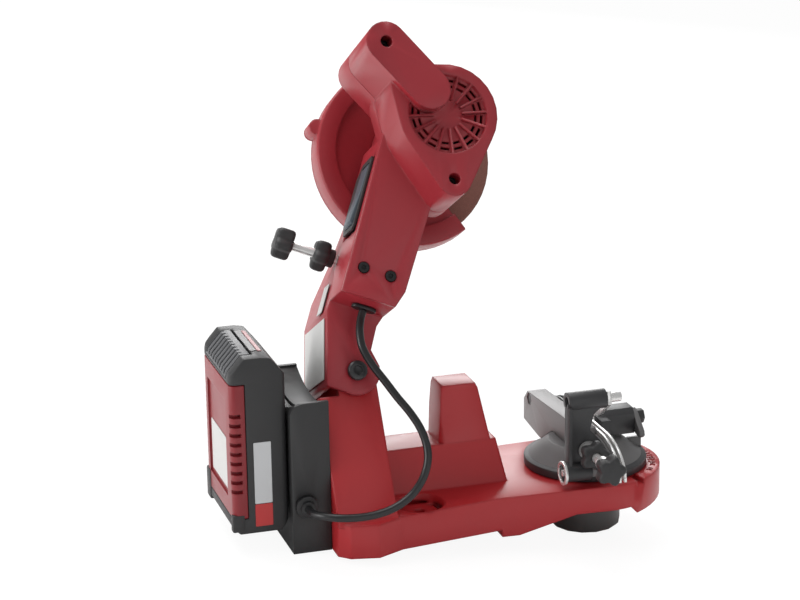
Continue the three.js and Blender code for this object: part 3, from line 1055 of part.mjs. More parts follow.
// Chain stop: hinged bracket, pin, spring, rod with its pawl, and the stop screw with two knobs
const plateZ0 = BRACKET.hingeZ;
function stopBracket() {
  const outline = [
    [BRACKET.from, plateZ0], [LOWER_BARREL.to, plateZ0], [LOWER_BARREL.to, STOP_SCREW.z - 8], [BRACKET.to + 5, STOP_SCREW.z - 4],
    [BRACKET.to + 5, STOP_SCREW.z + 5], [LOWER_BARREL.to, STOP_SCREW.z + 12], [BRACKET.to + 1, BRACKET.rodZ - 8],
    [TOP_BARREL.to - 1, BRACKET.rodZ - 2], [TOP_BARREL.to - 1, BRACKET.rodZ], [BRACKET.from, BRACKET.rodZ],
  ];
  const half = BRACKET.thick / 2;
  let body = prismAlongY(outline, BRACKET.v - half, BRACKET.v + half);
  body = body.add(rodAlongX(BARREL_R, LOWER_BARREL.from, LOWER_BARREL.to, BRACKET.hingeV, BRACKET.hingeZ, 24));
  body = body.add(rodAlongX(BARREL_R, TOP_BARREL.from, TOP_BARREL.to, BRACKET.rodV, BRACKET.rodZ, 24));
  body = body.add(box(BRACKET.from, BRACKET.from + 2, BRACKET.v - half - 3, BRACKET.v + half, plateZ0 + 4, BRACKET.rodZ - 2));
  body = body.add(rodAlongY(5.5, BRACKET.v - half - 6, BRACKET.v, STOP_SCREW.u, STOP_SCREW.z, 20));
  body = body.subtract(rodAlongX(BOLT_R / 2 + FIT, LOWER_BARREL.from - OVER, LOWER_BARREL.to + OVER, BRACKET.hingeV, BRACKET.hingeZ, 12));
  body = body.subtract(rodAlongX(ROD_R + FIT, TOP_BARREL.from - OVER, TOP_BARREL.to + OVER, BRACKET.rodV, BRACKET.rodZ, 16));
  body = body.subtract(rodAlongY(ROD_R + FIT, STOP_SCREW.end, 0, STOP_SCREW.u, STOP_SCREW.z, 16));
  return body;
}
piece('stop_bracket', stopBracket(), BLACK, vise);
piece('bracket_pin', rodAlongX(BOLT_R / 2, LOWER_BARREL.from - 2, RAIL_FIXED_U - 2 * FIT, BRACKET.hingeV, BRACKET.hingeZ, 12), STEEL, vise);
piece('bracket_spring', rod(BARREL_R, LOWER_BARREL.from - 2.2, LOWER_BARREL.from - FIT, 20)
  .subtract(rod(BARREL_R - 1.4, -200, 200, 20)).rotate([0, 90, 0]).translate([0, BRACKET.hingeV, BRACKET.hingeZ]), STEEL, vise);
piece('stop_rod', rodAlongX(ROD_R, TOP_BARREL.from + 4, ROD_END_U, BRACKET.rodV, BRACKET.rodZ, 16), STEEL, vise);
const pawlSide = [
  [BRACKET.rodV - 5, BRACKET.rodZ - 3], [BRACKET.rodV - 3, BRACKET.rodZ + 5], [BRACKET.rodV + 5, BRACKET.rodZ + 2],
  [PAWL.reachV + 1, PAWL.lowZ + 8], [PAWL.reachV, PAWL.lowZ], [PAWL.reachV - 15, PAWL.lowZ + 5],
];
piece('stop_pawl', prismAlongX(pawlSide, PAWL.from, PAWL.to)
  .subtract(rodAlongX(ROD_R + FIT, PAWL.from - OVER, PAWL.to + OVER, BRACKET.rodV, BRACKET.rodZ, 16)), STEEL, vise);
piece('stop_screw', rodAlongY(ROD_R, STOP_SCREW.end + 6, STOP_SCREW.tip, STOP_SCREW.u, STOP_SCREW.z, 14), STEEL, vise);
const alongMinusY = (solid) => solid.rotate([90, 0, 0]).translate([STOP_SCREW.u, 0, STOP_SCREW.z]);
piece('stop_lock_knob', alongMinusY(starKnob(STAR_R, -STOP_SCREW.lock, -STOP_SCREW.lock + 7)
  .subtract(rod(ROD_R + FIT, 0, -2 * STOP_SCREW.lock, 14))), BLACK, vise);
piece('stop_knob', alongMinusY(starKnob(STAR_R, -STOP_SCREW.knob, -STOP_SCREW.end)
  .subtract(rod(ROD_R + FIT, 0, -STOP_SCREW.end - 6 + FIT, 14))), BLACK, vise);

// Cable: a hand-laid route from the arm's gland to the dock's gland
const cableRoute = [
  [-25.7, -8.0, 137.7], [-27.7, -10.2, 133.7], [-29.9, -15.0, 127.6], [-30.1, -21.0, 119.1], [-25.9, -27.0, 109.6],
  [-20.1, -33.0, 100.8], [-14.3, -39.0, 91.8], [-8.5, -45.0, 83.7], [-4.2, -50.5, 75.6], [-2.0, -55.0, 67.5],
  [-2.1, -59.0, 59.4], [-5.4, -62.0, 49.9], [-11.5, -64.5, 42.1], [-18.8, -66.0, 36.7], [-28.4, -67.0, 32.7],
  [-39.2, -67.0, 30.6], [-49.8, -66.5, 30.3], [-60.0, -64.5, 30.8], [-67.0, -59.5, 31.0], [-70.8, -53.0, 30.3],
  [-71.5, -48.5, 30.0], [-71.5, -44.5, 30.0],
].map(([x, y, z]) => new THREE.Vector3(x, y, z));
piece('power_cable', tubeAlong(new THREE.CatmullRomCurve3(cableRoute, false, 'centripetal'), CABLE_R, 8, 40), RUBBER);

export default sharpener;
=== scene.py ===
"""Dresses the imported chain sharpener: moulded red shells, black castings, bright rails, cable and studio."""

from __future__ import annotations

import logging
import math
from dataclasses import dataclass, field
from enum import Enum

import bmesh
import bpy
from bmesh.types import BMesh, BMVert
from bpy.types import ID, Material, Mesh, NodeSocket, NodeTree, Object
from mathutils import Matrix, Vector


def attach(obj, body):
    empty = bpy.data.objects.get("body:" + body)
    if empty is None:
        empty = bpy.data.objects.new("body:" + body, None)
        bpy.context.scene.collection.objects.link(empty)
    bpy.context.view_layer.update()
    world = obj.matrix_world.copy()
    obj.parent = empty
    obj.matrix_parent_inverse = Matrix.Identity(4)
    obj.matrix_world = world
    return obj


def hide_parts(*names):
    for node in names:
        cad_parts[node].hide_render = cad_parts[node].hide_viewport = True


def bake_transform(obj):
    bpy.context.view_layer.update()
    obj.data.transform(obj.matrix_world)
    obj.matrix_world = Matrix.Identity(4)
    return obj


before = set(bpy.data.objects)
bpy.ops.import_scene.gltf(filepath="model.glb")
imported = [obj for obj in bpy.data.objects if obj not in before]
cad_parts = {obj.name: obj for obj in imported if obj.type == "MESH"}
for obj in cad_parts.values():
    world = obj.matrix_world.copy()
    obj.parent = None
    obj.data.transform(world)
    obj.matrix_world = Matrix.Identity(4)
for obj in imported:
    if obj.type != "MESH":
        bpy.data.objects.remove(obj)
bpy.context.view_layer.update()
LOG = logging.getLogger("sharpener")
MM = 0.001

SMOOTH_DEG = 32.0
ROUND_DEG = 40.0
SHARP_DEG = 28.0
CORNER_STEPS = 6
SLEEVE_SIDES = 28
CUT_M = 1e-6

Flat = tuple[float, float]
Point = tuple[float, float, float]
Colour = tuple[float, float, float]
Box = tuple[Point, Point, float]
Values = dict[object, object]


class Axis(Enum):
    """The axis along which a prism runs."""

    X = "X"
    Z = "Z"


class Pattern(Enum):
    """How a finish varies over its surface."""

    GRAINED = "grained"
    BRUSHED = "brushed"
    GRIT = "grit"


@dataclass(frozen=True)
class Finish:
    """One finish of the object: its slot name, colour, gloss and surface detail."""

    name: str
    slot: str
    colour: Colour
    roughness: float
    pattern: Pattern = Pattern.GRAINED
    metallic: float = 0.0
    mottle: float = 0.05
    grain: float = 0.12
    grain_per_m: float = 1500.0
    # share of the painted highlight that lightens rounded edges; 0 turns it off
    edge_lift: float = 0.18
    edge_mm: float = 0.5


DRIFT = {"Scale": 38.0, "Detail": 4.0, "Roughness": 0.6}
BRUSH = {"Scale": 420.0, "Detail": 3.0}
BRUSH_LANE = (1.0, 1.0, 9.0)
GRAIN = {"Detail": 2.0, "Roughness": 0.5}
WHITE = (1.0, 1.0, 1.0, 1.0)

RED_SHELL = Finish("red_moulding", "red_shell", (0.330, 0.021, 0.031), 0.40, grain=0.10, edge_mm=1.6)
RED_BASE = Finish(
    "red_base_coat", "red_base", (0.440, 0.019, 0.024), 0.36,
    grain=0.12, grain_per_m=900.0, edge_mm=2.0,
)
RED_BATTERY = Finish("red_battery_cover", "red_shell", (0.235, 0.012, 0.018), 0.38, edge_mm=0.8)
BLACK_PLASTIC = Finish(
    "black_moulding", "black_plastic", (0.026, 0.026, 0.027), 0.52, mottle=0.08, grain=0.14,
)
# painted light: the swivel knob's black plastic made lighter, standing in for light bounced up from the floor
# under the nose
KNOB_PAINTED_BOUNCE = Finish("knob_moulding_painted_bounce", "black_plastic", (0.062, 0.061, 0.060), 0.40, grain=0.08, edge_mm=0.8)
BLACK_CASTING = Finish(
    "black_casting", "black_casting", (0.034, 0.034, 0.036), 0.44,
    mottle=0.10, grain=0.22, grain_per_m=1100.0,
)
GREY_CASTING = Finish(
    "grey_casting", "black_casting", (0.120, 0.117, 0.118), 0.46,
    mottle=0.08, grain=0.20, grain_per_m=1100.0,
)
# painted light: the black casting made lighter grey where the wing catches the light from the left
WING_PAINTED_LIGHT = Finish(
    "wing_casting_painted_light", "black_casting", (0.185, 0.179, 0.180), 0.44,
    mottle=0.07, grain=0.20, grain_per_m=1100.0,
)
GREY_PLASTIC = Finish("grey_moulding", "grey_plastic", (0.085, 0.087, 0.092), 0.50)
ROCKER_BLUE = Finish("rocker_blue_grey", "grey_plastic", (0.062, 0.080, 0.098), 0.46, grain=0.06)
STEEL = Finish(
    "plated_steel", "steel", (0.80, 0.795, 0.785), 0.28, Pattern.BRUSHED, metallic=0.70, grain=0.08,
)
DARK_STEEL = Finish(
    "blackened_steel", "dark_steel", (0.060, 0.060, 0.062), 0.36,
    Pattern.BRUSHED, metallic=0.7, grain=0.10,
)
MOTOR_STEEL = Finish("motor_steel", "motor_steel", (0.48, 0.48, 0.49), 0.38, Pattern.BRUSHED, metallic=1.0)
BRASS = Finish("brass", "brass", (0.62, 0.44, 0.18), 0.30, Pattern.BRUSHED, metallic=1.0)
GRIT = Finish(
    "bonded_grit", "abrasive", (0.215, 0.090, 0.070), 0.90,
    Pattern.GRIT, mottle=0.30, grain=0.6, grain_per_m=1800.0, edge_lift=0.0,
)
FOIL = Finish("blank_foil", "label", (0.56, 0.57, 0.58), 0.36, Pattern.BRUSHED, metallic=0.35, grain=0.04)
RUBBER = Finish("cable_rubber", "cable_rubber", (0.012, 0.012, 0.013), 0.36, grain=0.10, edge_lift=0.0)
# painted shade: near-black screw heads standing in for the shade inside the arm's deep screw holes
SCREW_PAINTED_SHADE = Finish("screw_hole_painted_shade", "dark_steel", (0.011, 0.011, 0.012), 0.50, metallic=0.3, edge_lift=0.0)
# painted shade: a near-black copy of the rail steel for the rails' far part, standing in for shadow and dark
# reflections there
RAIL_PAINTED_SHADE = Finish("rail_painted_shade", "steel", (0.030, 0.030, 0.031), 0.40, Pattern.BRUSHED, metallic=0.5)
BLANK_LABEL = Finish("blank_label", "label", (0.60, 0.60, 0.585), 0.58, mottle=0.03, grain=0.04)
STRIP_RED = Finish("red_strip", "red_shell", (0.52, 0.030, 0.030), 0.40, grain=0.04)


@dataclass
class Wire:
    """A node's output, which Python's arithmetic joins to Math nodes."""

    graph: Graph
    socket: NodeSocket

    def _sum(self, operation: str, left: object, right: object) -> Wire:
        """The value of a new Math node, from two numbers or Wires."""
        return self.graph.add("ShaderNodeMath", {"operation": operation}, {0: left, 1: right})

    def __add__(self, other: object) -> Wire:
        """Sum."""
        return self._sum("ADD", self, other)

    def __rsub__(self, other: object) -> Wire:
        """Difference, reflected."""
        return self._sum("SUBTRACT", other, self)

    def __mul__(self, other: object) -> Wire:
        """Product."""
        return self._sum("MULTIPLY", self, other)


class Graph:
    """A node tree, built one node at a time."""

    def __init__(self, tree: NodeTree) -> None:
        """Keeps the tree, emptied."""
        self.tree = tree
        self.tree.nodes.clear()

    def surface(self, shader: Wire, kind: str = "ShaderNodeOutputMaterial") -> None:
        """Joins a shader to a new output node."""
        self.tree.links.new(shader.socket, self.tree.nodes.new(kind).inputs["Surface"])

    def add(self, kind: str, settings: Values, inputs: Values, out: object = 0) -> Wire:
        """Adds any node.

        Args:
            kind: the node's type name.
            settings: attributes set before the inputs.
            inputs: socket name or number to a value or a Wire.
            out: name or number of the output to return.

        Returns:
            The chosen output.
        """
        node = self.tree.nodes.new(kind)
        for key, value in settings.items():
            setattr(node, key, value)
        for key, value in inputs.items():
            if isinstance(value, Wire):
                self.tree.links.new(value.socket, node.inputs[key])
            else:
                node.inputs[key].default_value = value
        return Wire(self, node.outputs[out])


@dataclass
class Paint:
    """Builds each finish once and hands the same material out again."""

    made: dict[str, Material] = field(default_factory=dict)
    grit_share: float = 0.5
    edge_samples: int = 4
    edge_gain: float = 3.0
    edge_drift: float = 1.4
    # how much the painted edge highlight lightens the colour
    highlight_gain: float = 1.25
    highlight_lift: float = 0.035
    gloss_span: float = 0.12
    bump_m: float = 0.00012

    def of(self, finish: Finish) -> Material:
        """The material of a finish.

        Args:
            finish: the finish to build.

        Returns:
            Its node material.
        """
        if finish.name not in self.made:
            self.made[finish.name] = self._build(finish)
        return self.made[finish.name]

    def _build(self, finish: Finish) -> Material:
        """Colour drift, a painted highlight on rounded edges, uneven gloss and a fine surface, all on Object
        coordinates.

        Args:
            finish: the finish to build.

        Returns:
            A new node material.
        """
        material = bpy.data.materials.new(finish.name)
        material.diffuse_color = (*finish.colour, 1.0)
        material.use_nodes = True
        g = Graph(material.node_tree)
        place = g.add("ShaderNodeTexCoord", {}, {}, "Object")
        drift = g.add("ShaderNodeTexNoise", {}, {"Vector": place, **DRIFT})
        scale = {"Vector": place, "Scale": finish.grain_per_m}
        if finish.pattern is Pattern.BRUSHED:
            lane = g.add("ShaderNodeMapping", {}, {"Vector": place, "Scale": BRUSH_LANE})
            fine = g.add("ShaderNodeTexNoise", {}, {"Vector": lane, **BRUSH})
        elif finish.pattern is Pattern.GRIT:
            fine = g.add("ShaderNodeTexVoronoi", {}, scale, "Distance")
        else:
            fine = g.add("ShaderNodeTexNoise", {}, {**scale, **GRAIN})
        low = tuple(c * (1.0 - finish.mottle) for c in finish.colour)
        high = tuple(min(c * (1.0 + finish.mottle), 1.0) for c in finish.colour)
        share = drift
        if finish.pattern is Pattern.GRIT:
            share = drift * (1.0 - self.grit_share) + fine * self.grit_share
        colour = g.add(
            "ShaderNodeMix", {"data_type": "RGBA"}, {"Factor": share, 6: (*low, 1.0), 7: (*high, 1.0)}, 2,
        )
        rounded = g.add("ShaderNodeBevel", {"samples": self.edge_samples}, {"Radius": finish.edge_mm * MM})
        # painted highlight: the colour is lightened where the shading bevel bends the normal, standing in for
        # light caught by rounded edges
        if finish.edge_lift > 0.0:
            flat = g.add("ShaderNodeNewGeometry", {}, {}, "Normal")
            dot = {"operation": "DOT_PRODUCT"}
            turn = g.add("ShaderNodeVectorMath", dot, {0: rounded, 1: flat}, "Value")
            bend = {0: 1.0 - turn, 1: self.edge_gain}
            edge = g.add("ShaderNodeMath", {"operation": "MULTIPLY", "use_clamp": True}, bend)
            edge_highlight = tuple(min(c * self.highlight_gain + self.highlight_lift, 1.0) for c in finish.colour)
            share = edge * finish.edge_lift * (drift * self.edge_drift)
            lifted = {"Factor": share, 6: colour, 7: (*edge_highlight, 1.0)}
            colour = g.add("ShaderNodeMix", {"data_type": "RGBA"}, lifted, 2)
        gloss = drift * self.gloss_span + (finish.roughness - self.gloss_span / 2)
        normal = g.add(
            "ShaderNodeBump", {},
            {"Strength": finish.grain, "Distance": self.bump_m, "Height": fine, "Normal": rounded},
        )
        shader = g.add(
            "ShaderNodeBsdfPrincipled", {},
            {"Base Color": colour, "Roughness": gloss, "Metallic": finish.metallic, "Normal": normal},
        )
        g.surface(shader)
        return material


PAINT = Paint()


def linked(name: str, data: ID) -> Object:
    """A new object in the scene.

    Args:
        name: its name.
        data: its mesh, camera, light or text.

    Returns:
        The object.
    """
    obj = bpy.data.objects.new(name, data)
    bpy.context.scene.collection.objects.link(obj)
    return obj


def place_piece(name: str, mesh: Mesh, finish: Finish) -> Object:
    """Puts a finished mesh in the scene.

    Args:
        name: the piece's name.
        mesh: its mesh, already in place.
        finish: its finish.

    Returns:
        The new object.
    """
    mesh.materials.clear()
    mesh.materials.append(PAINT.of(finish))
    LOG.info("%s: %d faces", name, len(mesh.polygons))
    return linked(name, mesh)


def settle(
    name: str, mesh: Mesh, body: str, finish: Finish, stands_for: tuple[str, ...] = (),
) -> None:
    """Places a made mesh on its body.

    Args:
        name: the piece's name.
        mesh: its mesh, in place.
        body: the body that it rides on.
        finish: its finish.
        stands_for: CAD nodes that it replaces.
    """
    piece = place_piece(name, mesh, finish)
    if stands_for:
        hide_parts(*stands_for)
    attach(piece, body)


def shade(mesh: Mesh, angle: float = SMOOTH_DEG) -> None:
    """Smooth shading, broken where faces meet at more than an angle in degrees."""
    mesh.polygons.foreach_set("use_smooth", [True] * len(mesh.polygons))
    mesh.set_sharp_from_angle(angle=math.radians(angle))


def meshed(name: str, work: BMesh, angle: float = SMOOTH_DEG) -> Mesh:
    """Turns finished shapes into a shaded mesh.

    Args:
        name: the mesh's name.
        work: the shapes, which are freed.
        angle: where smooth shading breaks, in degrees.

    Returns:
        The mesh.
    """
    mesh = bpy.data.meshes.new(name)
    work.to_mesh(mesh)
    work.free()
    shade(mesh, angle)
    return mesh


def skin(work: BMesh, rings: list[list[BMVert]], capped: bool) -> None:
    """Joins each ring of points to the next, and turns all faces outwards.

    Args:
        work: where the points are.
        rings: the rings in order.
        capped: whether the first and the last ring get a face.
    """
    for one, two in zip(rings, rings[1:]):
        for k in range(len(one)):
            n = (k + 1) % len(one)
            work.faces.new((one[k], one[n], two[n], two[k]))
    if capped:
        work.faces.new(rings[0])
        work.faces.new(rings[-1])
    bmesh.ops.recalc_face_normals(work, faces=work.faces)


def round_angles(sides: int) -> list[float]:
    """Even angles once round, in radians."""
    return [2 * math.pi * k / sides for k in range(sides)]


@dataclass(frozen=True)
class Split:
    """A second finish for what lies past a plane, whose point is in millimetres."""

    finish: Finish
    at: Point
    way: Point


@dataclass(frozen=True)
class Dressing:
    """How one CAD node is dressed; an empty body means the unit's own."""

    node: str
    name: str
    finish: Finish
    edge_mm: float
    scale: float | Point = 1.0
    split: Split | None = None
    body: str = ""
    slot: str = ""


@dataclass(frozen=True)
class Softener:
    """Rounds the edges of a CAD node's copy."""

    weld_m: float = 2e-6
    sliver_m: float = 4e-6
    flat_deg: float = 0.7
    short_edge: float = 1.2
    volume_slack: float = 0.04
    steps: int = 2

    def soften(self, node: str, name: str, edge_mm: float) -> Mesh:
        """Joins flat faces and rounds the long sharp edges, unless that changes the volume.

        Args:
            node: the CAD node to copy.
            name: the new mesh's name.
            edge_mm: radius given to the edges.

        Returns:
            The new mesh.
        """
        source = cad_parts[node]
        work = bmesh.new()
        work.from_mesh(source.data)
        bmesh.ops.transform(work, matrix=source.matrix_world, verts=work.verts)
        bmesh.ops.remove_doubles(work, verts=work.verts, dist=self.weld_m)
        bmesh.ops.dissolve_degenerate(work, dist=self.sliver_m, edges=work.edges)
        flat = math.radians(self.flat_deg)
        bmesh.ops.dissolve_limit(work, angle_limit=flat, verts=work.verts, edges=work.edges)
        before = work.calc_volume()
        kept = work.copy()
        width = edge_mm * MM
        sharp = [
            e for e in work.edges
            if e.is_manifold and e.calc_face_angle(0.0) > math.radians(SHARP_DEG)
            and e.calc_length() > self.short_edge * width
        ]
        if sharp and edge_mm > 0:
            bmesh.ops.bevel(
                work, geom=sharp, offset=width, offset_type="OFFSET", segments=self.steps, profile=0.5,
                affect="EDGES", clamp_overlap=True, loop_slide=True,
            )
        if abs(work.calc_volume() - before) > self.volume_slack * abs(before):
            work.free()
            work = kept
        else:
            kept.free()
        bmesh.ops.triangulate(work, faces=[f for f in work.faces if len(f.verts) > 4])
        return meshed(name, work)


def resize(mesh: Mesh, scale: float | Point) -> None:
    """Scales a mesh about the middle of its box.

    Args:
        mesh: the mesh to change.
        scale: one factor, or those along X, Y and Z.
    """
    factors = scale if isinstance(scale, tuple) else (scale,) * 3
    spots = [v.co for v in mesh.vertices]
    middle = Vector([(min(c[i] for c in spots) + max(c[i] for c in spots)) / 2 for i in range(3)])
    stretch = Matrix.Diagonal((*factors, 1.0))
    mesh.transform(Matrix.Translation(middle) @ stretch @ Matrix.Translation(-middle))


def divide(mesh: Mesh, split: Split) -> None:
    """Adds edges where a plane crosses a mesh, so that its two sides can differ.

    Args:
        mesh: the mesh to change.
        split: the plane.
    """
    work = bmesh.new()
    work.from_mesh(mesh)
    parts = [*work.verts, *work.edges, *work.faces]
    at, way = Vector(split.at) * MM, Vector(split.way)
    bmesh.ops.bisect_plane(work, geom=parts, dist=CUT_M, plane_co=at, plane_no=way)
    work.to_mesh(mesh)
    work.free()
    shade(mesh)


def box(name: str, shape: Box) -> Mesh:
    """A box, sizes in millimetres.

    Args:
        name: the mesh's name.
        shape: its centre, its size and its turn about Z in degrees.

    Returns:
        The mesh.
    """
    centre, size, turn = shape
    place = Matrix.Translation(Vector(centre) * MM) @ Matrix.Rotation(math.radians(turn), 4, "Z")
    work = bmesh.new()
    bmesh.ops.create_cube(work, size=1.0, matrix=place @ Matrix.Diagonal((*(Vector(size) * MM), 1.0)))
    return meshed(name, work)


def merged(name: str, meshes: list[Mesh]) -> Mesh:
    """Several meshes in one.

    Args:
        name: the new mesh's name.
        meshes: the meshes, each in place.

    Returns:
        The new mesh.
    """
    work = bmesh.new()
    for mesh in meshes:
        work.from_mesh(mesh)
    bmesh.ops.recalc_face_normals(work, faces=work.faces)
    mesh = bpy.data.meshes.new(name)
    work.to_mesh(mesh)
    work.free()
    return mesh


def plain(holder: Object) -> Mesh:
    """The mesh that an object's modifiers make, once the object is removed."""
    mesh = bpy.data.meshes.new_from_object(holder.evaluated_get(bpy.context.evaluated_depsgraph_get()))
    holder.modifiers.clear()
    bpy.data.objects.remove(holder)
    return mesh


def carved(mesh: Mesh, cutter: Mesh) -> Mesh:
    """A mesh with another cut out of it.

    Args:
        mesh: the mesh to cut.
        cutter: the closed shapes to cut away.

    Returns:
        The plain result.
    """
    holder, tool = linked("holder", mesh), linked("tool", cutter)
    cut = holder.modifiers.new("cut", "BOOLEAN")
    cut.operation, cut.solver, cut.object = "DIFFERENCE", "EXACT", tool
    bpy.context.view_layer.update()
    result = plain(holder)
    bpy.data.objects.remove(tool)
    shade(result)
    return result


def prism(name: str, outline: list[Flat], low: float, high: float, axis: Axis, edge_mm: float = 0.0) -> Mesh:
    """A straight prism, sizes in millimetres.

    Args:
        name: the mesh's name.
        outline: its corners in the plane across the axis: (y, z) for X, (x, y) for Z.
        low: where it starts along the axis.
        high: where it ends.
        axis: the axis that it runs along.
        edge_mm: radius given to its edges.

    Returns:
        The mesh.
    """
    work = bmesh.new()
    rings = []
    for level in (low, high):
        spots = [(level, a, b) if axis is Axis.X else (a, b, level) for a, b in outline]
        rings.append([work.verts.new(Vector(spot) * MM) for spot in spots])
    skin(work, rings, True)
    if edge_mm > 0.0:
        sharp = [e for e in work.edges if e.calc_face_angle(0.0) > math.radians(SHARP_DEG)]
        size = {"offset": edge_mm * MM, "segments": 2, "profile": 0.5}
        bmesh.ops.bevel(work, geom=sharp, affect="EDGES", clamp_overlap=True, **size)
    return meshed(name, work)


def plate(name: str, width: float, height: float, corner: float, thick: float) -> Mesh:
    """A thin plate with round corners, in X and Y, its face up, sizes in millimetres.

    Args:
        name: the mesh's name.
        width: along X.
        height: along Y.
        corner: corner radius.
        thick: thickness along Z.

    Returns:
        The mesh.
    """
    outline = []
    for cx, cy, start in ((1, 1, 0), (-1, 1, 90), (-1, -1, 180), (1, -1, 270)):
        for k in range(CORNER_STEPS + 1):
            a = math.radians(start + 90 * k / CORNER_STEPS)
            x = cx * (width / 2 - corner) + corner * math.cos(a)
            y = cy * (height / 2 - corner) + corner * math.sin(a)
            outline.append((x, y))
    return prism(name, outline, 0.0, thick, Axis.Z)


def sleeve(name: str, inner: float, outer: float, start: Point, end: Point) -> Mesh:
    """A tube between two points, sizes in millimetres.

    Args:
        name: the mesh's name.
        inner: bore radius.
        outer: outer radius.
        start: middle of one end.
        end: middle of the other end.

    Returns:
        The mesh.
    """
    a, b = Vector(start) * MM, Vector(end) * MM
    turn = (b - a).to_track_quat("Z", "Y").to_matrix()
    unit = [turn @ Vector((math.cos(t), math.sin(t), 0.0)) for t in round_angles(SLEEVE_SIDES)]
    work = bmesh.new()
    rings = []
    for middle, radius in ((a, inner), (a, outer), (b, outer), (b, inner)):
        rings.append([work.verts.new(middle + way * radius * MM) for way in unit])
    skin(work, [*rings, rings[0]], False)
    return meshed(name, work)


@dataclass(frozen=True)
class StarKnob:
    """A hand knob with rounded lobes and a crowned face, sized from its CAD node.

    Its rings are shares of its length and of its radius.
    """

    node: str
    name: str
    body: str
    outward: Point
    bore_mm: float = 0.0
    hub: float = 0.0
    lobes: int = 5
    depth: float = 0.13
    sides: int = 80
    hub_rings: tuple[Flat, ...] = ((0.0, 0.52), (0.05, 0.56))
    hub_size: float = 0.56
    skirt: tuple[Flat, ...] = ((0.0, 0.84), (0.07, 0.95), (0.2, 1.0))
    crown: tuple[Flat, ...] = ((0.74, 1.0), (0.88, 0.965), (0.97, 0.88), (1.0, 0.76))

    def profile(self, radius: float) -> list[Point]:
        """The rings from the rear to the crowned face.

        Args:
            radius: the knob's radius in metres.

        Returns:
            Place, radius and lobe depth of each ring, as shares.
        """
        rings = [(self.hub + at, size, self.depth) for at, size in self.skirt]
        rings += [(at, size, self.depth) for at, size in self.crown]
        if self.hub > 0.0:
            stem = [(at, size, 0.0) for at, size in self.hub_rings]
            rings = [*stem, (self.hub, self.hub_size, 0.0), *rings]
        bore = self.bore_mm * MM / radius
        if bore > 0.0:
            rings = [(rings[0][0], bore, 0.0), *rings, (1.0, bore, 0.0)]
        return rings

    def build(self) -> None:
        """Lobed rings along the axis; one with a bore is joined to itself through it."""
        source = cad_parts[self.node]
        spots = [source.matrix_world @ v.co for v in source.data.vertices]
        axis = Vector(self.outward).normalized()
        middle = sum(spots, Vector()) / len(spots)
        heights = [(s - middle).dot(axis) for s in spots]
        radius = max((s - middle - axis * h).length for s, h in zip(spots, heights))
        low, rise = min(heights), max(heights) - min(heights)
        turn = axis.to_track_quat("Z", "Y").to_matrix()
        work = bmesh.new()
        rings = []
        for at, size, lobe in self.profile(radius):
            ring = []
            for a in round_angles(self.sides):
                reach = radius * size * (1 - lobe + lobe * math.cos(self.lobes * a))
                spot = turn @ Vector((math.cos(a) * reach, math.sin(a) * reach, 0.0))
                ring.append(work.verts.new(middle + axis * (low + rise * at) + spot))
            rings.append(ring)
        bored = self.bore_mm > 0.0
        skin(work, [*rings, rings[0]] if bored else rings, not bored)
        mesh = meshed(self.name, work, ROUND_DEG)
        settle(self.name, mesh, self.body, BLACK_PLASTIC, (self.node,))


SWITCH_SHRINK = 0.88
TABLE_RIM = Split(BLACK_CASTING, (0.0, 0.0, 27.5), (0.0, 0.0, -1.0))
# the clamp block keeps the plain black casting; the rest of the vise casting takes the painted light
CLAMP_BLOCK = Split(BLACK_CASTING, (119.0, 0.0, 0.0), (1.0, 0.0, 0.0))
# the rails past y = -6 mm take the painted shade
RAIL_SHADE = Split(RAIL_PAINTED_SHADE, (0.0, -6.0, 0.0), (0.0, 1.0, 0.0))


@dataclass
class Assembly:
    """A sub-assembly: the CAD nodes that it dresses, then forms of its own."""

    body: str = "base"
    plans: tuple[Dressing, ...] = ()
    softener: Softener = Softener()

    def build(self) -> None:
        """Dresses the nodes and adds the forms."""
        for plan in self.plans:
            self.dress(plan)
        self.add_forms()

    def dress(self, plan: Dressing) -> None:
        """Makes the softened copy of a node and lets it stand for the node.

        Args:
            plan: what to make.
        """
        mesh = self.softener.soften(plan.node, plan.name, plan.edge_mm)
        if plan.scale != 1.0:
            resize(mesh, plan.scale)
        if plan.split is not None:
            divide(mesh, plan.split)
        mesh = self.carve(plan.node, mesh)
        settle(plan.name, mesh, plan.body or self.body, plan.finish, (plan.node,))
        if plan.split is not None:
            mesh.materials.append(PAINT.of(plan.split.finish))
            at, way = Vector(plan.split.at) * MM, Vector(plan.split.way)
            for polygon in mesh.polygons:
                polygon.material_index = int((polygon.center - at).dot(way) > 0.0)

    def carve(self, node: str, mesh: Mesh) -> Mesh:
        """A node's mesh as it is; a sub-assembly can cut it."""
        return mesh

    def add_forms(self) -> None:
        """Nothing; a sub-assembly can add forms that the CAD doesn't have."""


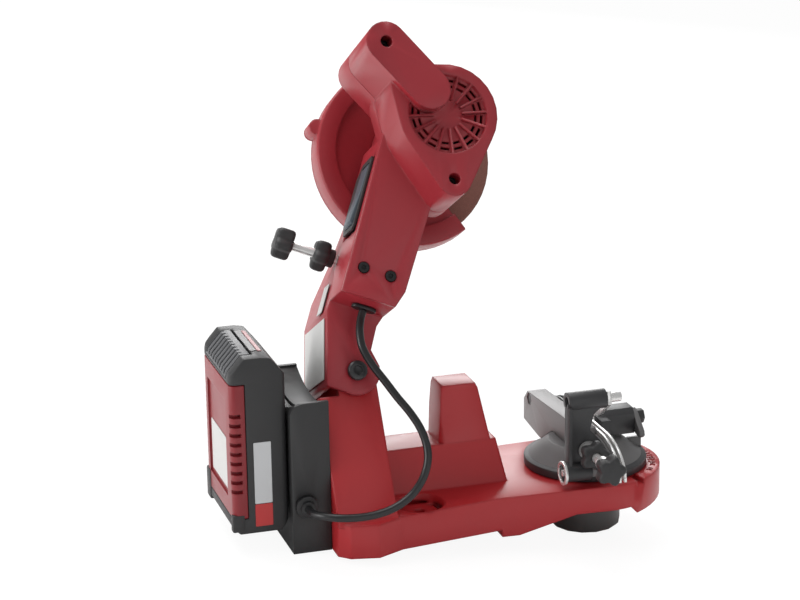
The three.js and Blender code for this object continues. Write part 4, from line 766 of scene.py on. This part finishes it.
@dataclass
class Studio:
    """Camera, floor and soft light."""

    aim: Point = (0.0, 0.0, 0.1395)
    back: Point = (-0.2773, -0.9154, 0.2917)
    distance: float = 1.4989
    roll: float = 0.89
    lens: float = 111.87
    floor_rear: Point = (-0.080, 0.0, 0.0)
    floor_front: Point = (0.0975, 0.0, -0.0195)
    floor_half: float = 6.0
    paper: float = 0.93
    glow: float = 1.07
    glow_share: float = 0.86
    world_soft: float = 0.42
    sensor_mm: float = 36.0
    clip_m: float = 50.0
    lamps: tuple[tuple[str, Point, Point, float, float], ...] = (
        ("top_soft", (-0.20, 0.45, 1.35), (0.0, 0.0, 0.12), 1.1, 15.0),
        ("left_fill", (-1.55, -0.05, 0.48), (0.0, 0.0, 0.12), 0.7, 10.0),
        ("front_fill", (0.5, -1.7, 0.6), (0.0, 0.0, 0.12), 1.0, 2.5),
        ("back_sheen", (0.55, 1.90, 0.82), (0.0, 0.0, 0.10), 1.1, 17.0),
    )

    def camera(self) -> None:
        """The photograph's camera, from the fitted view."""
        back = Vector(self.back).normalized()
        right = Vector((0.0, 0.0, 1.0)).cross(back).normalized()
        up = back.cross(right)
        lean = math.radians(self.roll)
        side = right * math.cos(lean) - up * math.sin(lean)
        top = right * math.sin(lean) + up * math.cos(lean)
        data = bpy.data.cameras.new("photo_camera")
        data.lens, data.sensor_width, data.clip_end = self.lens, self.sensor_mm, self.clip_m
        obj = linked("photo_camera", data)
        turn = Matrix((side, top, back)).transposed()
        obj.matrix_world = Matrix.Translation(Vector(self.aim) + back * self.distance) @ turn.to_4x4()
        bpy.context.scene.camera = obj

    def floor(self) -> None:
        """A pale floor on which the dock's rear edge and the swivel knob stand."""
        rear, front = Vector(self.floor_rear), Vector(self.floor_front)
        along = (front - rear).normalized()
        across = Vector((0.0, 1.0, 0.0))
        mesh = bpy.data.meshes.new("floor")
        reach = self.floor_half
        turns = ((-1, -1), (1, -1), (1, 1), (-1, 1))
        corners = [rear + along * (a * reach) + across * (b * reach) for a, b in turns]
        mesh.from_pydata(corners, [], [(0, 1, 2, 3)])
        material = bpy.data.materials.new("pale_floor")
        material.use_nodes = True
        g = Graph(material.node_tree)
        path = g.add("ShaderNodeLightPath", {}, {}, "Is Camera Ray")
        paper = g.add("ShaderNodeBsdfDiffuse", {}, {"Color": (self.paper, self.paper, self.paper, 1.0)})
        glow = g.add("ShaderNodeEmission", {}, {"Color": WHITE, "Strength": self.glow})
        g.surface(g.add("ShaderNodeMixShader", {}, {0: path * self.glow_share, 1: paper, 2: glow}))
        mesh.materials.append(material)
        linked("floor", mesh)

    def lamp(self, name: str, place: Point, aim: Point, size: float, watts: float) -> None:
        """One square soft lamp.

        Args:
            name: the lamp's name.
            place: where it hangs.
            aim: the point it faces.
            size: its side in metres.
            watts: its power.
        """
        data = bpy.data.lights.new(name, "AREA")
        data.shape, data.size, data.energy = "SQUARE", size, watts
        turn = (Vector(aim) - Vector(place)).to_track_quat("-Z", "Y").to_matrix().to_4x4()
        linked(name, data).matrix_world = Matrix.Translation(place) @ turn

    def light(self) -> None:
        """Even white surroundings and the lamps."""
        world = bpy.data.worlds.new("studio")
        bpy.context.scene.world = world
        world.use_nodes = True
        g = Graph(world.node_tree)
        soft, white = (
            g.add("ShaderNodeBackground", {}, {"Color": WHITE, "Strength": strength})
            for strength in (self.world_soft, 1.0)
        )
        path = g.add("ShaderNodeLightPath", {}, {}, "Is Camera Ray")
        g.surface(g.add("ShaderNodeMixShader", {}, {0: path, 1: soft, 2: white}), "ShaderNodeOutputWorld")
        for name, place, aim, size, watts in self.lamps:
            self.lamp(name, place, aim, size, watts)
        bpy.context.scene.view_settings.view_transform = "Standard"

    def build(self) -> None:
        """Camera, floor and light."""
        self.camera()
        self.floor()
        self.light()


@dataclass
class CableRun:
    """The cable from the arm's gland to the battery dock."""

    radius: float = 0.0024
    sides: int = 20
    route: tuple[Point, ...] = (
        (-0.0257, -0.0080, 0.1377), (-0.0277, -0.0102, 0.1337), (-0.0299, -0.0150, 0.1276),
        (-0.0301, -0.0210, 0.1191), (-0.0259, -0.0270, 0.1096), (-0.0201, -0.0330, 0.1008),
        (-0.0143, -0.0390, 0.0918), (-0.0085, -0.0450, 0.0837), (-0.0042, -0.0505, 0.0756),
        (-0.0020, -0.0550, 0.0675), (-0.0021, -0.0590, 0.0594), (-0.0054, -0.0620, 0.0499),
        (-0.0115, -0.0645, 0.0421), (-0.0188, -0.0660, 0.0367), (-0.0284, -0.0670, 0.0327),
        (-0.0392, -0.0670, 0.0306), (-0.0498, -0.0665, 0.0303), (-0.0600, -0.0645, 0.0308),
        (-0.0670, -0.0595, 0.0310), (-0.0708, -0.0530, 0.0303), (-0.0715, -0.0485, 0.0300),
        (-0.0715, -0.0445, 0.0300),
    )
    per_span: int = 6
    still: Point = (-0.0257, -0.0400, 0.0421)

    def line(self) -> list[Vector]:
        """Points on one smooth curve through the route, in metres."""
        knots = [Vector(p) for p in self.route]
        knots = [2 * knots[0] - knots[1], *knots, 2 * knots[-1] - knots[-2]]
        points: list[Vector] = []
        for i in range(1, len(knots) - 2):
            a, b, c, d = knots[i - 1:i + 3]
            t1 = math.sqrt((b - a).length)
            t2 = t1 + math.sqrt((c - b).length)
            t3 = t2 + math.sqrt((d - c).length)
            for k in range(self.per_span):
                t = t1 + (t2 - t1) * k / self.per_span
                a1 = a.lerp(b, t / t1)
                a2 = b.lerp(c, (t - t1) / (t2 - t1))
                a3 = c.lerp(d, (t - t2) / (t3 - t2))
                b1 = a1.lerp(a2, t / t2)
                b2 = a2.lerp(a3, (t - t1) / (t3 - t1))
                points.append(b1.lerp(b2, (t - t1) / (t2 - t1)))
        points.append(knots[-2])
        return points

    def build(self) -> None:
        """The tube along the curve, which stands in for the CAD cable."""
        line = self.line()
        work = bmesh.new()
        normal = Vector((1.0, 0.0, 0.0))
        rings = []
        for i, point in enumerate(line):
            ahead = (line[min(i + 1, len(line) - 1)] - line[max(i - 1, 0)]).normalized()
            normal = (normal - ahead * normal.dot(ahead)).normalized()
            other = ahead.cross(normal)
            rings.append([
                work.verts.new(point + (normal * math.cos(a) + other * math.sin(a)) * self.radius)
                for a in round_angles(self.sides)
            ])
        skin(work, rings, True)
        piece = place_piece("cable", meshed("cable", work, ROUND_DEG), RUBBER)
        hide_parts("power_cable")
        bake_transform(piece)
        length = sum((b - a).length for a, b in zip(line, line[1:]))


class Recipe(Graph):
    """A Geometry Nodes tree with named sizes, run once to give a plain mesh."""

    def __init__(self, name: str) -> None:
        """Starts an empty tree with one geometry output.

        Args:
            name: name of the tree and of its mesh.
        """
        super().__init__(bpy.data.node_groups.new(name, "GeometryNodeTree"))
        self.name = name
        self.tree.interface.new_socket("Geometry", in_out="OUTPUT", socket_type="NodeSocketGeometry")
        self.entry = self.tree.nodes.new("NodeGroupInput")
        self.sizes: dict[str, float | int] = {}

    def size(self, label: str, value: float | int) -> Wire:
        """A named input.

        Args:
            label: the input's name.
            value: its value for this piece.

        Returns:
            The input inside the tree.
        """
        kind = "NodeSocketInt" if isinstance(value, int) else "NodeSocketFloat"
        item = self.tree.interface.new_socket(label, in_out="INPUT", socket_type=kind)
        self.sizes[item.identifier] = value
        return Wire(self, self.entry.outputs[label])

    def grid(self, counts: tuple[int, int], pitches: Flat, size: Point) -> Wire:
        """Boxes repeated in columns along X and rows along Y, about the origin.

        Args:
            counts: how many columns and rows.
            pitches: from one column and row to the next, in metres.
            size: size of each box, in metres.

        Returns:
            The instances.
        """
        sizes = [self.size("Box " + axis, value) for axis, value in zip("XYZ", size)]
        box_size = self.add("ShaderNodeCombineXYZ", {}, dict(enumerate(sizes)))
        unit = self.add("GeometryNodeMeshCube", {}, {"Size": box_size})
        points = self.add("GeometryNodeMeshGrid", {}, {
            "Vertices X": self.size("Columns", counts[0]),
            "Vertices Y": self.size("Rows", counts[1]),
            "Size X": self.size("Width", pitches[0] * (counts[0] - 1)),
            "Size Y": self.size("Height", pitches[1] * (counts[1] - 1)),
        })
        return self.add("GeometryNodeInstanceOnPoints", {}, {"Points": points, "Instance": unit})

    def mesh(self, shapes: Wire, finish: Finish, place: Matrix) -> Mesh:
        """Ends the tree in Realize Instances and Set Material and runs it.

        Args:
            shapes: the geometry to keep.
            finish: its finish.
            place: where the result goes.

        Returns:
            A plain mesh in place.
        """
        real = self.add("GeometryNodeRealizeInstances", {}, {"Geometry": shapes})
        done = self.add("GeometryNodeSetMaterial", {}, {"Geometry": real, "Material": PAINT.of(finish)})
        self.tree.links.new(done.socket, self.tree.nodes.new("NodeGroupOutput").inputs[0])
        holder = linked(self.name + "_holder", bpy.data.meshes.new(self.name + "_holder"))
        modifier = holder.modifiers.new("recipe", "NODES")
        modifier.node_group = self.tree
        for key, value in self.sizes.items():
            modifier[key] = value
        mesh = plain(holder)
        mesh.name = self.name
        mesh.transform(place)
        return mesh


@dataclass
class BaseUnit(Assembly):
    """The base casting with its dock and hinge fittings, and the angle numbers on its nose."""

    body: str = "base"
    plans: tuple[Dressing, ...] = (
        Dressing("base_casting", "base_body", RED_BASE, 0.8),
        Dressing("battery_dock", "dock_shell", BLACK_PLASTIC, 0.7),
        Dressing("dock_screw_1", "dock_bolt_low", STEEL, 0.2),
        Dressing("dock_screw_2", "dock_bolt_high", STEEL, 0.2),
        Dressing("dock_cable_gland", "dock_gland", RUBBER, 0.3),
        Dressing("dock_contacts", "dock_blades", BRASS, 0.0),
        Dressing("pivot_bush", "hinge_bush", BRASS, 0.2),
        Dressing("return_spring", "hinge_spring", STEEL, 0.0),
    )
    groove: Box = ((140.6, -42.5, 21.0), (5.6, 24.0, 6.4), 12.0)
    scale_centre: Point = (120.0, 0.0, 21.0)
    scale_radius: float = 42.8
    digit_high: float = 4.8
    digit_rise: float = 0.5
    step_deg: float = 13.0
    numbers: tuple[int, ...] = (30, 20, 10, 0, 10, 20, 30)

    def carve(self, node: str, mesh: Mesh) -> Mesh:
        """The base casting gets the groove across the nose's rim, beside the turntable."""
        return carved(mesh, box("nose_groove", self.groove)) if node == "base_casting" else mesh

    def number(self, value: int, angle: float) -> Mesh:
        """One raised number, which stands outwards on the deck.

        Args:
            value: the number.
            angle: where it stands round the turntable, in radians.

        Returns:
            Its mesh, in place.
        """
        data = bpy.data.curves.new("digits", "FONT")
        data.body, data.size, data.extrude = str(value), self.digit_high * MM, self.digit_rise * MM
        data.align_x, data.align_y = "CENTER", "CENTER"
        mesh = plain(linked("digits", data))
        out = Vector((math.cos(angle), math.sin(angle), 0.0)) * self.scale_radius * MM
        stand = Matrix.Rotation(angle + math.pi / 2, 4, "Z")
        mesh.transform(Matrix.Translation(Vector(self.scale_centre) * MM + out) @ stand)
        return mesh

    def add_forms(self) -> None:
        """The numbers of the scale, evenly spaced about the nose's end."""
        middle = (len(self.numbers) - 1) / 2
        angles = [math.radians((i - middle) * self.step_deg) for i in range(len(self.numbers))]
        digits = merged("scale_digits", [self.number(n, a) for n, a in zip(self.numbers, angles)])
        settle("scale_digits", digits, "base", RED_BASE)


@dataclass
class ArmUnit(Assembly):
    """The swinging arm: shells, motor, guard, switch, depth screw and its knobs."""

    body: str = "arm"
    plans: tuple[Dressing, ...] = (
        Dressing("arm_shell_far", "arm_far_half", RED_SHELL, 0.7),
        Dressing("arm_shell_near", "arm_near_half", RED_SHELL, 0.6),
        Dressing("pivot_bolt", "hinge_bolt", DARK_STEEL, 0.3),
        Dressing("pivot_nut", "hinge_nut", STEEL, 0.3),
        Dressing("motor_can", "motor_housing", MOTOR_STEEL, 0.3),
        Dressing("motor_end_cap", "motor_cap", BLACK_PLASTIC, 0.3),
        Dressing("front_bearing", "motor_bearing", STEEL, 0.2),
        Dressing("disc_guard", "guard_shell", RED_SHELL, 0.5),
        Dressing("guard_cover", "guard_plate", RED_SHELL, 0.4),
        Dressing("label_plate", "bare_foil", BLANK_LABEL, 0.15),
        Dressing("switch_bezel", "switch_frame", BLACK_PLASTIC, 0.4, SWITCH_SHRINK),
        Dressing("arm_cable_gland", "arm_gland", RUBBER, 0.4),
        Dressing("switch_rocker", "rocker", ROCKER_BLUE, 0.5, SWITCH_SHRINK, body="switch"),
        Dressing("depth_screw", "depth_rod", STEEL, 0.3, body="depth_screw"),
        # the shell screws take the painted hole shade
        *(Dressing(f"shell_screw_{k}", f"arm_screw_{k}", SCREW_PAINTED_SHADE, 0.2) for k in (1, 2, 3, 4)),
        *(Dressing(f"guard_screw_{k}", f"guard_bolt_{k}", STEEL, 0.2) for k in (1, 2, 3)),
    )
    hinge: Point = (-32.0, 14.0, 87.5)
    along: Point = (0.406737, 0.428884, 0.806613)
    rear: Point = (-0.913545, 0.190951, 0.359127)
    knob_bore: float = 3.3
    lock_hub: float = 0.30
    plate_up: float = 40.5
    plate_out: float = 28.05
    plate_side: float = 13.0
    plate_size: tuple[float, float] = (19.0, 13.0)
    plate_corner: float = 0.8
    plate_thick: float = 0.3

    def knobs(self) -> None:
        """The depth screw's knob and its lock knob."""
        StarKnob("depth_knob", "depth_star", "depth_knob", self.rear).build()
        lock = "depth_lock_knob"
        StarKnob(lock, "depth_lock_star", lock, self.rear, self.knob_bore, self.lock_hub).build()

    def add_forms(self) -> None:
        """The knobs, and a small bare plate turned to the arm's rear face."""
        self.knobs()
        along, rear = Vector(self.along), Vector(self.rear)
        side = rear.cross(along)
        turn = Matrix((along, side, rear)).transposed().to_4x4()
        middle = Vector(self.hinge) + along * self.plate_up + rear * self.plate_out - side * self.plate_side
        mesh = plate("small_blank_plate", *self.plate_size, self.plate_corner, self.plate_thick)
        mesh.transform(Matrix.Translation(middle * MM) @ turn)
        settle("small_blank_plate", mesh, "arm", BLANK_LABEL)


@dataclass
class SpindleUnit(Assembly):
    """What spins: the motor's shaft, rotor and fan, and the grinding disc between its flanges."""

    body: str = "spindle"
    plans: tuple[Dressing, ...] = (
        Dressing("spindle", "motor_shaft", STEEL, 0.2),
        Dressing("rotor", "motor_rotor", DARK_STEEL, 0.3),
        Dressing("cooling_fan", "motor_fan", BLACK_PLASTIC, 0.2),
        Dressing("grinding_disc", "grinding_wheel", GRIT, 0.2),
        Dressing("inner_flange", "wheel_flange_inner", STEEL, 0.3),
        Dressing("outer_flange", "wheel_flange_outer", STEEL, 0.3),
        Dressing("disc_nut", "wheel_nut", STEEL, 0.3),
    )


@dataclass
class BatteryUnit(Assembly):
    """The battery pack: case and latch, red cover, bare plates and bumpers. Sizes in millimetres."""

    body: str = "battery"
    plans: tuple[Dressing, ...] = (
        Dressing("battery_case", "battery_body", BLACK_PLASTIC, 0.8),
        Dressing("battery_latch", "battery_button", GREY_PLASTIC, 0.3, body="battery_latch"),
    )
    rear: float = -115.0
    front: float = -106.0
    half: float = 34.0
    low: float = 25.0
    high: float = 108.0
    corner: float = 4.0
    cover_edge: float = 0.5
    window: Box = ((-115.0, 2.0, 66.0), (2.4, 46.0, 60.0), 0.0)
    slots: int = 9
    slot_low: float = 42.0
    pitch: float = 5.9
    slot_size: Point = (5.2, 2.3, 7.4)
    slot_in: float = 1.2
    slot_deep: float = 2.6
    blank: tuple[float, ...] = (40.0, 32.0, 1.2, 0.3)
    blank_at: Point = (-113.8, 1.5, 55.1)
    strip_x: float = -96.4
    strip_wide: float = 10.6
    strip_low: float = 33.6
    strip_high: float = 72.0
    block_high: float = 14.0
    block_gap: float = 0.3
    strip_corner: float = 0.6
    strip_thick: float = 0.25
    strip_lift: float = 0.02
    bumper_rear: float = -115.7
    bumper_front: float = -108.0
    bumper_low: float = 16.5
    bumper_edge: float = 1.2
    bumpers: tuple[tuple[str, float, float, float], ...] = (
        ("near", -34.4, -29.0, 27.5), ("far", 25.0, 34.4, 36.0),
    )
    top_blank: tuple[float, ...] = (3.8, 41.0, 0.8, 0.4)
    top_blank_at: Point = (-96.6, 0.5, 123.9)
    red_line: tuple[float, ...] = (2.6, 41.0, 0.5, 0.4)
    red_line_at: Point = (-92.9, 0.5, 123.5)
    red_line_deg: float = 9.5

    def cover(self) -> None:
        """A rounded prism from which the window and two rows of slots are cut."""
        bend = [math.radians(90 * k / CORNER_STEPS) for k in range(CORNER_STEPS + 1)]
        r = self.corner
        near = [(self.rear + r * (1 - math.sin(a)), -self.half + r * (1 - math.cos(a))) for a in bend]
        far = [(x, -y) for x, y in reversed(near)]
        outline = [(self.front, -self.half), *near, *far, (self.front, self.half)]
        mesh = prism("battery_red_cover", outline, self.low, self.high, Axis.Z, self.cover_edge)
        mesh = carved(mesh, merged("cover_cuts", [box("window", self.window), self.slot_cutter()]))
        settle("battery_red_cover", mesh, "battery", RED_BATTERY, ("battery_cover",))

    def slot_cutter(self) -> Mesh:
        """The slots' cutters, repeated by Geometry Nodes up both rear corners.

        Returns:
            The boxes, in place.
        """
        recipe = Recipe("slot_cutter")
        across = 2 * (self.half - self.slot_in)
        size = tuple(v * MM for v in self.slot_size)
        boxes = recipe.grid((2, self.slots), (across * MM, self.pitch * MM), size)
        middle = self.slot_low + self.pitch * (self.slots - 1) / 2
        stand = Matrix(((0, 0, 1), (1, 0, 0), (0, 1, 0))).to_4x4()
        place = Matrix.Translation(Vector((self.rear + self.slot_deep, 0.0, middle)) * MM) @ stand
        return recipe.mesh(boxes, RED_BATTERY, place)

    def window_plate(self) -> None:
        """The bare plate in the cover's window."""
        blank = plate("battery_blank", *self.blank)
        turn = Matrix.Rotation(math.radians(-90), 4, "Y") @ Matrix.Rotation(math.radians(90), 4, "Z")
        blank.transform(Matrix.Translation(Vector(self.blank_at) * MM) @ turn)
        settle("battery_blank", blank, "battery", BLANK_LABEL)

    def side_plate(self, kind: str, side: int, low: float, high: float, finish: Finish) -> None:
        """One thin plate on a side of the pack.

        Args:
            kind: first part of its name.
            side: -1 for the near side, 1 for the far side.
            low: its lower edge.
            high: its upper edge.
            finish: its finish.
        """
        name = kind + ("_near" if side < 0 else "_far")
        turn = Matrix.Rotation(math.radians(-90 * side), 4, "X")
        if side > 0:
            turn = turn @ Matrix.Rotation(math.radians(180), 4, "Z")
        mesh = plate(name, self.strip_wide, high - low, self.strip_corner, self.strip_thick)
        middle = Vector((self.strip_x, side * (self.half + self.strip_lift), (low + high) / 2)) * MM
        mesh.transform(Matrix.Translation(middle) @ turn)
        settle(name, mesh, "battery", finish)

    def add_forms(self) -> None:
        """The cover, the side strips over their red blocks, the bumpers and the top's inlays."""
        self.cover()
        self.window_plate()
        block_top = self.strip_low - self.block_gap
        for side in (-1, 1):
            self.side_plate("side_foil", side, self.strip_low, self.strip_high, FOIL)
            self.side_plate("side_block", side, block_top - self.block_high, block_top, STRIP_RED)
        for label, inner, outer, high in self.bumpers:
            ends = ((self.bumper_rear, inner), (self.bumper_front, inner))
            outline = [*ends, (self.bumper_front, outer), (self.bumper_rear, outer)]
            bumper = prism("bumper_" + label, outline, self.bumper_low, high, Axis.Z, self.bumper_edge)
            settle("bumper_" + label, bumper, "battery", BLACK_PLASTIC)
        top = plate("top_blank", *self.top_blank)
        top.transform(Matrix.Translation(Vector(self.top_blank_at) * MM))
        settle("top_blank", top, "battery", GREY_CASTING)
        line = plate("top_red_line", *self.red_line)
        lean = Matrix.Rotation(math.radians(self.red_line_deg), 4, "Y")
        line.transform(Matrix.Translation(Vector(self.red_line_at) * MM) @ lean)
        settle("top_red_line", line, "battery", RED_BATTERY)


@dataclass
class ViseUnit(Assembly):
    """The turntable with the chain vise, its rails and its clamp. Sizes in millimetres."""

    body: str = "turntable"
    plans: tuple[Dressing, ...] = (
        Dressing("turntable", "swivel_table", GREY_CASTING, 0.5, split=TABLE_RIM, slot="black_plastic"),
        Dressing("swivel_bolt", "swivel_stud", STEEL, 0.3),
        Dressing("vise_body", "vise_casting", WING_PAINTED_LIGHT, 0.8, split=CLAMP_BLOCK),
        Dressing("fixed_rail", "rail_fixed", STEEL, 0.25, split=RAIL_SHADE),
        Dressing("rail_bolt_1", "rail_bolt_near", DARK_STEEL, 0.2),
        Dressing("rail_bolt_2", "rail_bolt_far", DARK_STEEL, 0.2),
        Dressing("bracket_pin", "hinge_pin", STEEL, 0.2),
        Dressing("swivel_knob", "swivel_hand_knob", KNOB_PAINTED_BOUNCE, 0.5, body="swivel_knob"),
        Dressing("moving_rail", "rail_moving", STEEL, 0.25, split=RAIL_SHADE, body="moving_rail"),
        Dressing("clamp_screw", "clamp_rod", STEEL, 0.3, body="clamp"),
    )
    wing_x: tuple[float, float] = (115.1, 116.8)
    wing_centre: Flat = (-33.0, 31.5)
    wing_reach: Flat = (29.5, 17.5)
    wing_steps: int = 10
    wing_foot: tuple[Flat, ...] = ((-60.0, 27.5), (-50.0, 26.5), (-20.0, 26.5), (-20.0, 49.0))
    wing_edge: float = 0.3
    handle_x: tuple[float, float] = (150.4, 154.0)
    cap_x: tuple[float, float] = (154.0, 158.8)
    cap_reach: float = 4.9
    clamp_z: float = 47.0
    clamp_edge: float = 0.6
    handle: tuple[Flat, ...] = (
        (5.6, 44.0), (5.6, 50.0), (0.0, 53.0), (-5.0, 51.0),
        (-15.5, 42.5), (-16.5, 39.5), (-14.0, 37.5), (0.0, 40.4),
    )

    def wing(self) -> None:
        """The casting's near wing, whose edge follows the rails' curve."""
        (y, z), (wide, high) = self.wing_centre, self.wing_reach
        curve = [math.radians(90 * (1 - k / self.wing_steps)) for k in range(self.wing_steps + 1)]
        outline = [(y - wide * math.cos(a), z + high * math.sin(a)) for a in curve]
        mesh = prism("near_wing", [*outline, *self.wing_foot], *self.wing_x, Axis.X, self.wing_edge)
        settle("near_wing", mesh, "turntable", GREY_CASTING)

    def add_forms(self) -> None:
        """The wing, and the clamp's hex cap with its short handle."""
        self.wing()
        r = self.cap_reach
        hexagon = [(r * math.cos(a), self.clamp_z + r * math.sin(a)) for a in round_angles(6)]
        cap = prism("clamp_cap", hexagon, *self.cap_x, Axis.X, self.clamp_edge)
        settle("clamp_cap", cap, "clamp", BLACK_PLASTIC)
        arm = prism("clamp_handle", list(self.handle), *self.handle_x, Axis.X, self.clamp_edge)
        settle("clamp_handle", arm, "clamp", GREY_CASTING, ("clamp_lever",))


@dataclass
class StopUnit(Assembly):
    """The folding chain stop: bracket, pawl, screw, knobs and sleeves. Sizes in millimetres."""

    body: str = "stop_bracket"
    plans: tuple[Dressing, ...] = (
        Dressing("stop_bracket", "bracket_casting", BLACK_CASTING, 0.7),
        Dressing("bracket_spring", "bracket_ring", STEEL, 0.2, (1.0, 1.25, 1.25)),
        Dressing("stop_rod", "pawl_rod", STEEL, 0.4, body="chain_pawl"),
        Dressing("stop_pawl", "pawl_plate", STEEL, 0.25, body="chain_pawl"),
        Dressing("stop_screw", "stop_rod_threaded", STEEL, 0.3, body="stop_screw"),
    )
    near_way: Point = (0.0, -1.0, 0.0)
    knob_bore: float = 3.3
    screw_x: float = 105.4
    screw_z: float = 45.0
    sleeves: tuple[tuple[str, str, float, float, float, float], ...] = (
        ("stop_boss_sleeve", "stop_bracket", 3.4, 5.8, -42.0, -49.7),
        ("stop_stem_sleeve", "stop_screw", 2.9, 4.4, -66.0, -74.8),
    )

    def add_forms(self) -> None:
        """The knobs, and a bright sleeve on the screw behind each of them."""
        StarKnob("stop_knob", "stop_star", "stop_knob", self.near_way).build()
        StarKnob("stop_lock_knob", "stop_lock_star", "stop_lock_knob", self.near_way, self.knob_bore).build()
        for name, body, inner, outer, start, end in self.sleeves:
            ends = [(self.screw_x, y, self.screw_z) for y in (start, end)]
            settle(name, sleeve(name, inner, outer, *ends), body, STEEL)


def main() -> None:
    """Builds the studio, the cable and every dressed piece."""
    logging.basicConfig(level=logging.INFO, format="%(message)s")
    Studio().build()
    CableRun().build()
    for unit in (BaseUnit(), ArmUnit(), SpindleUnit(), BatteryUnit(), ViseUnit(), StopUnit()):
        LOG.info("%s", type(unit).__name__)
        unit.build()


if __name__ == "__main__":
    main()
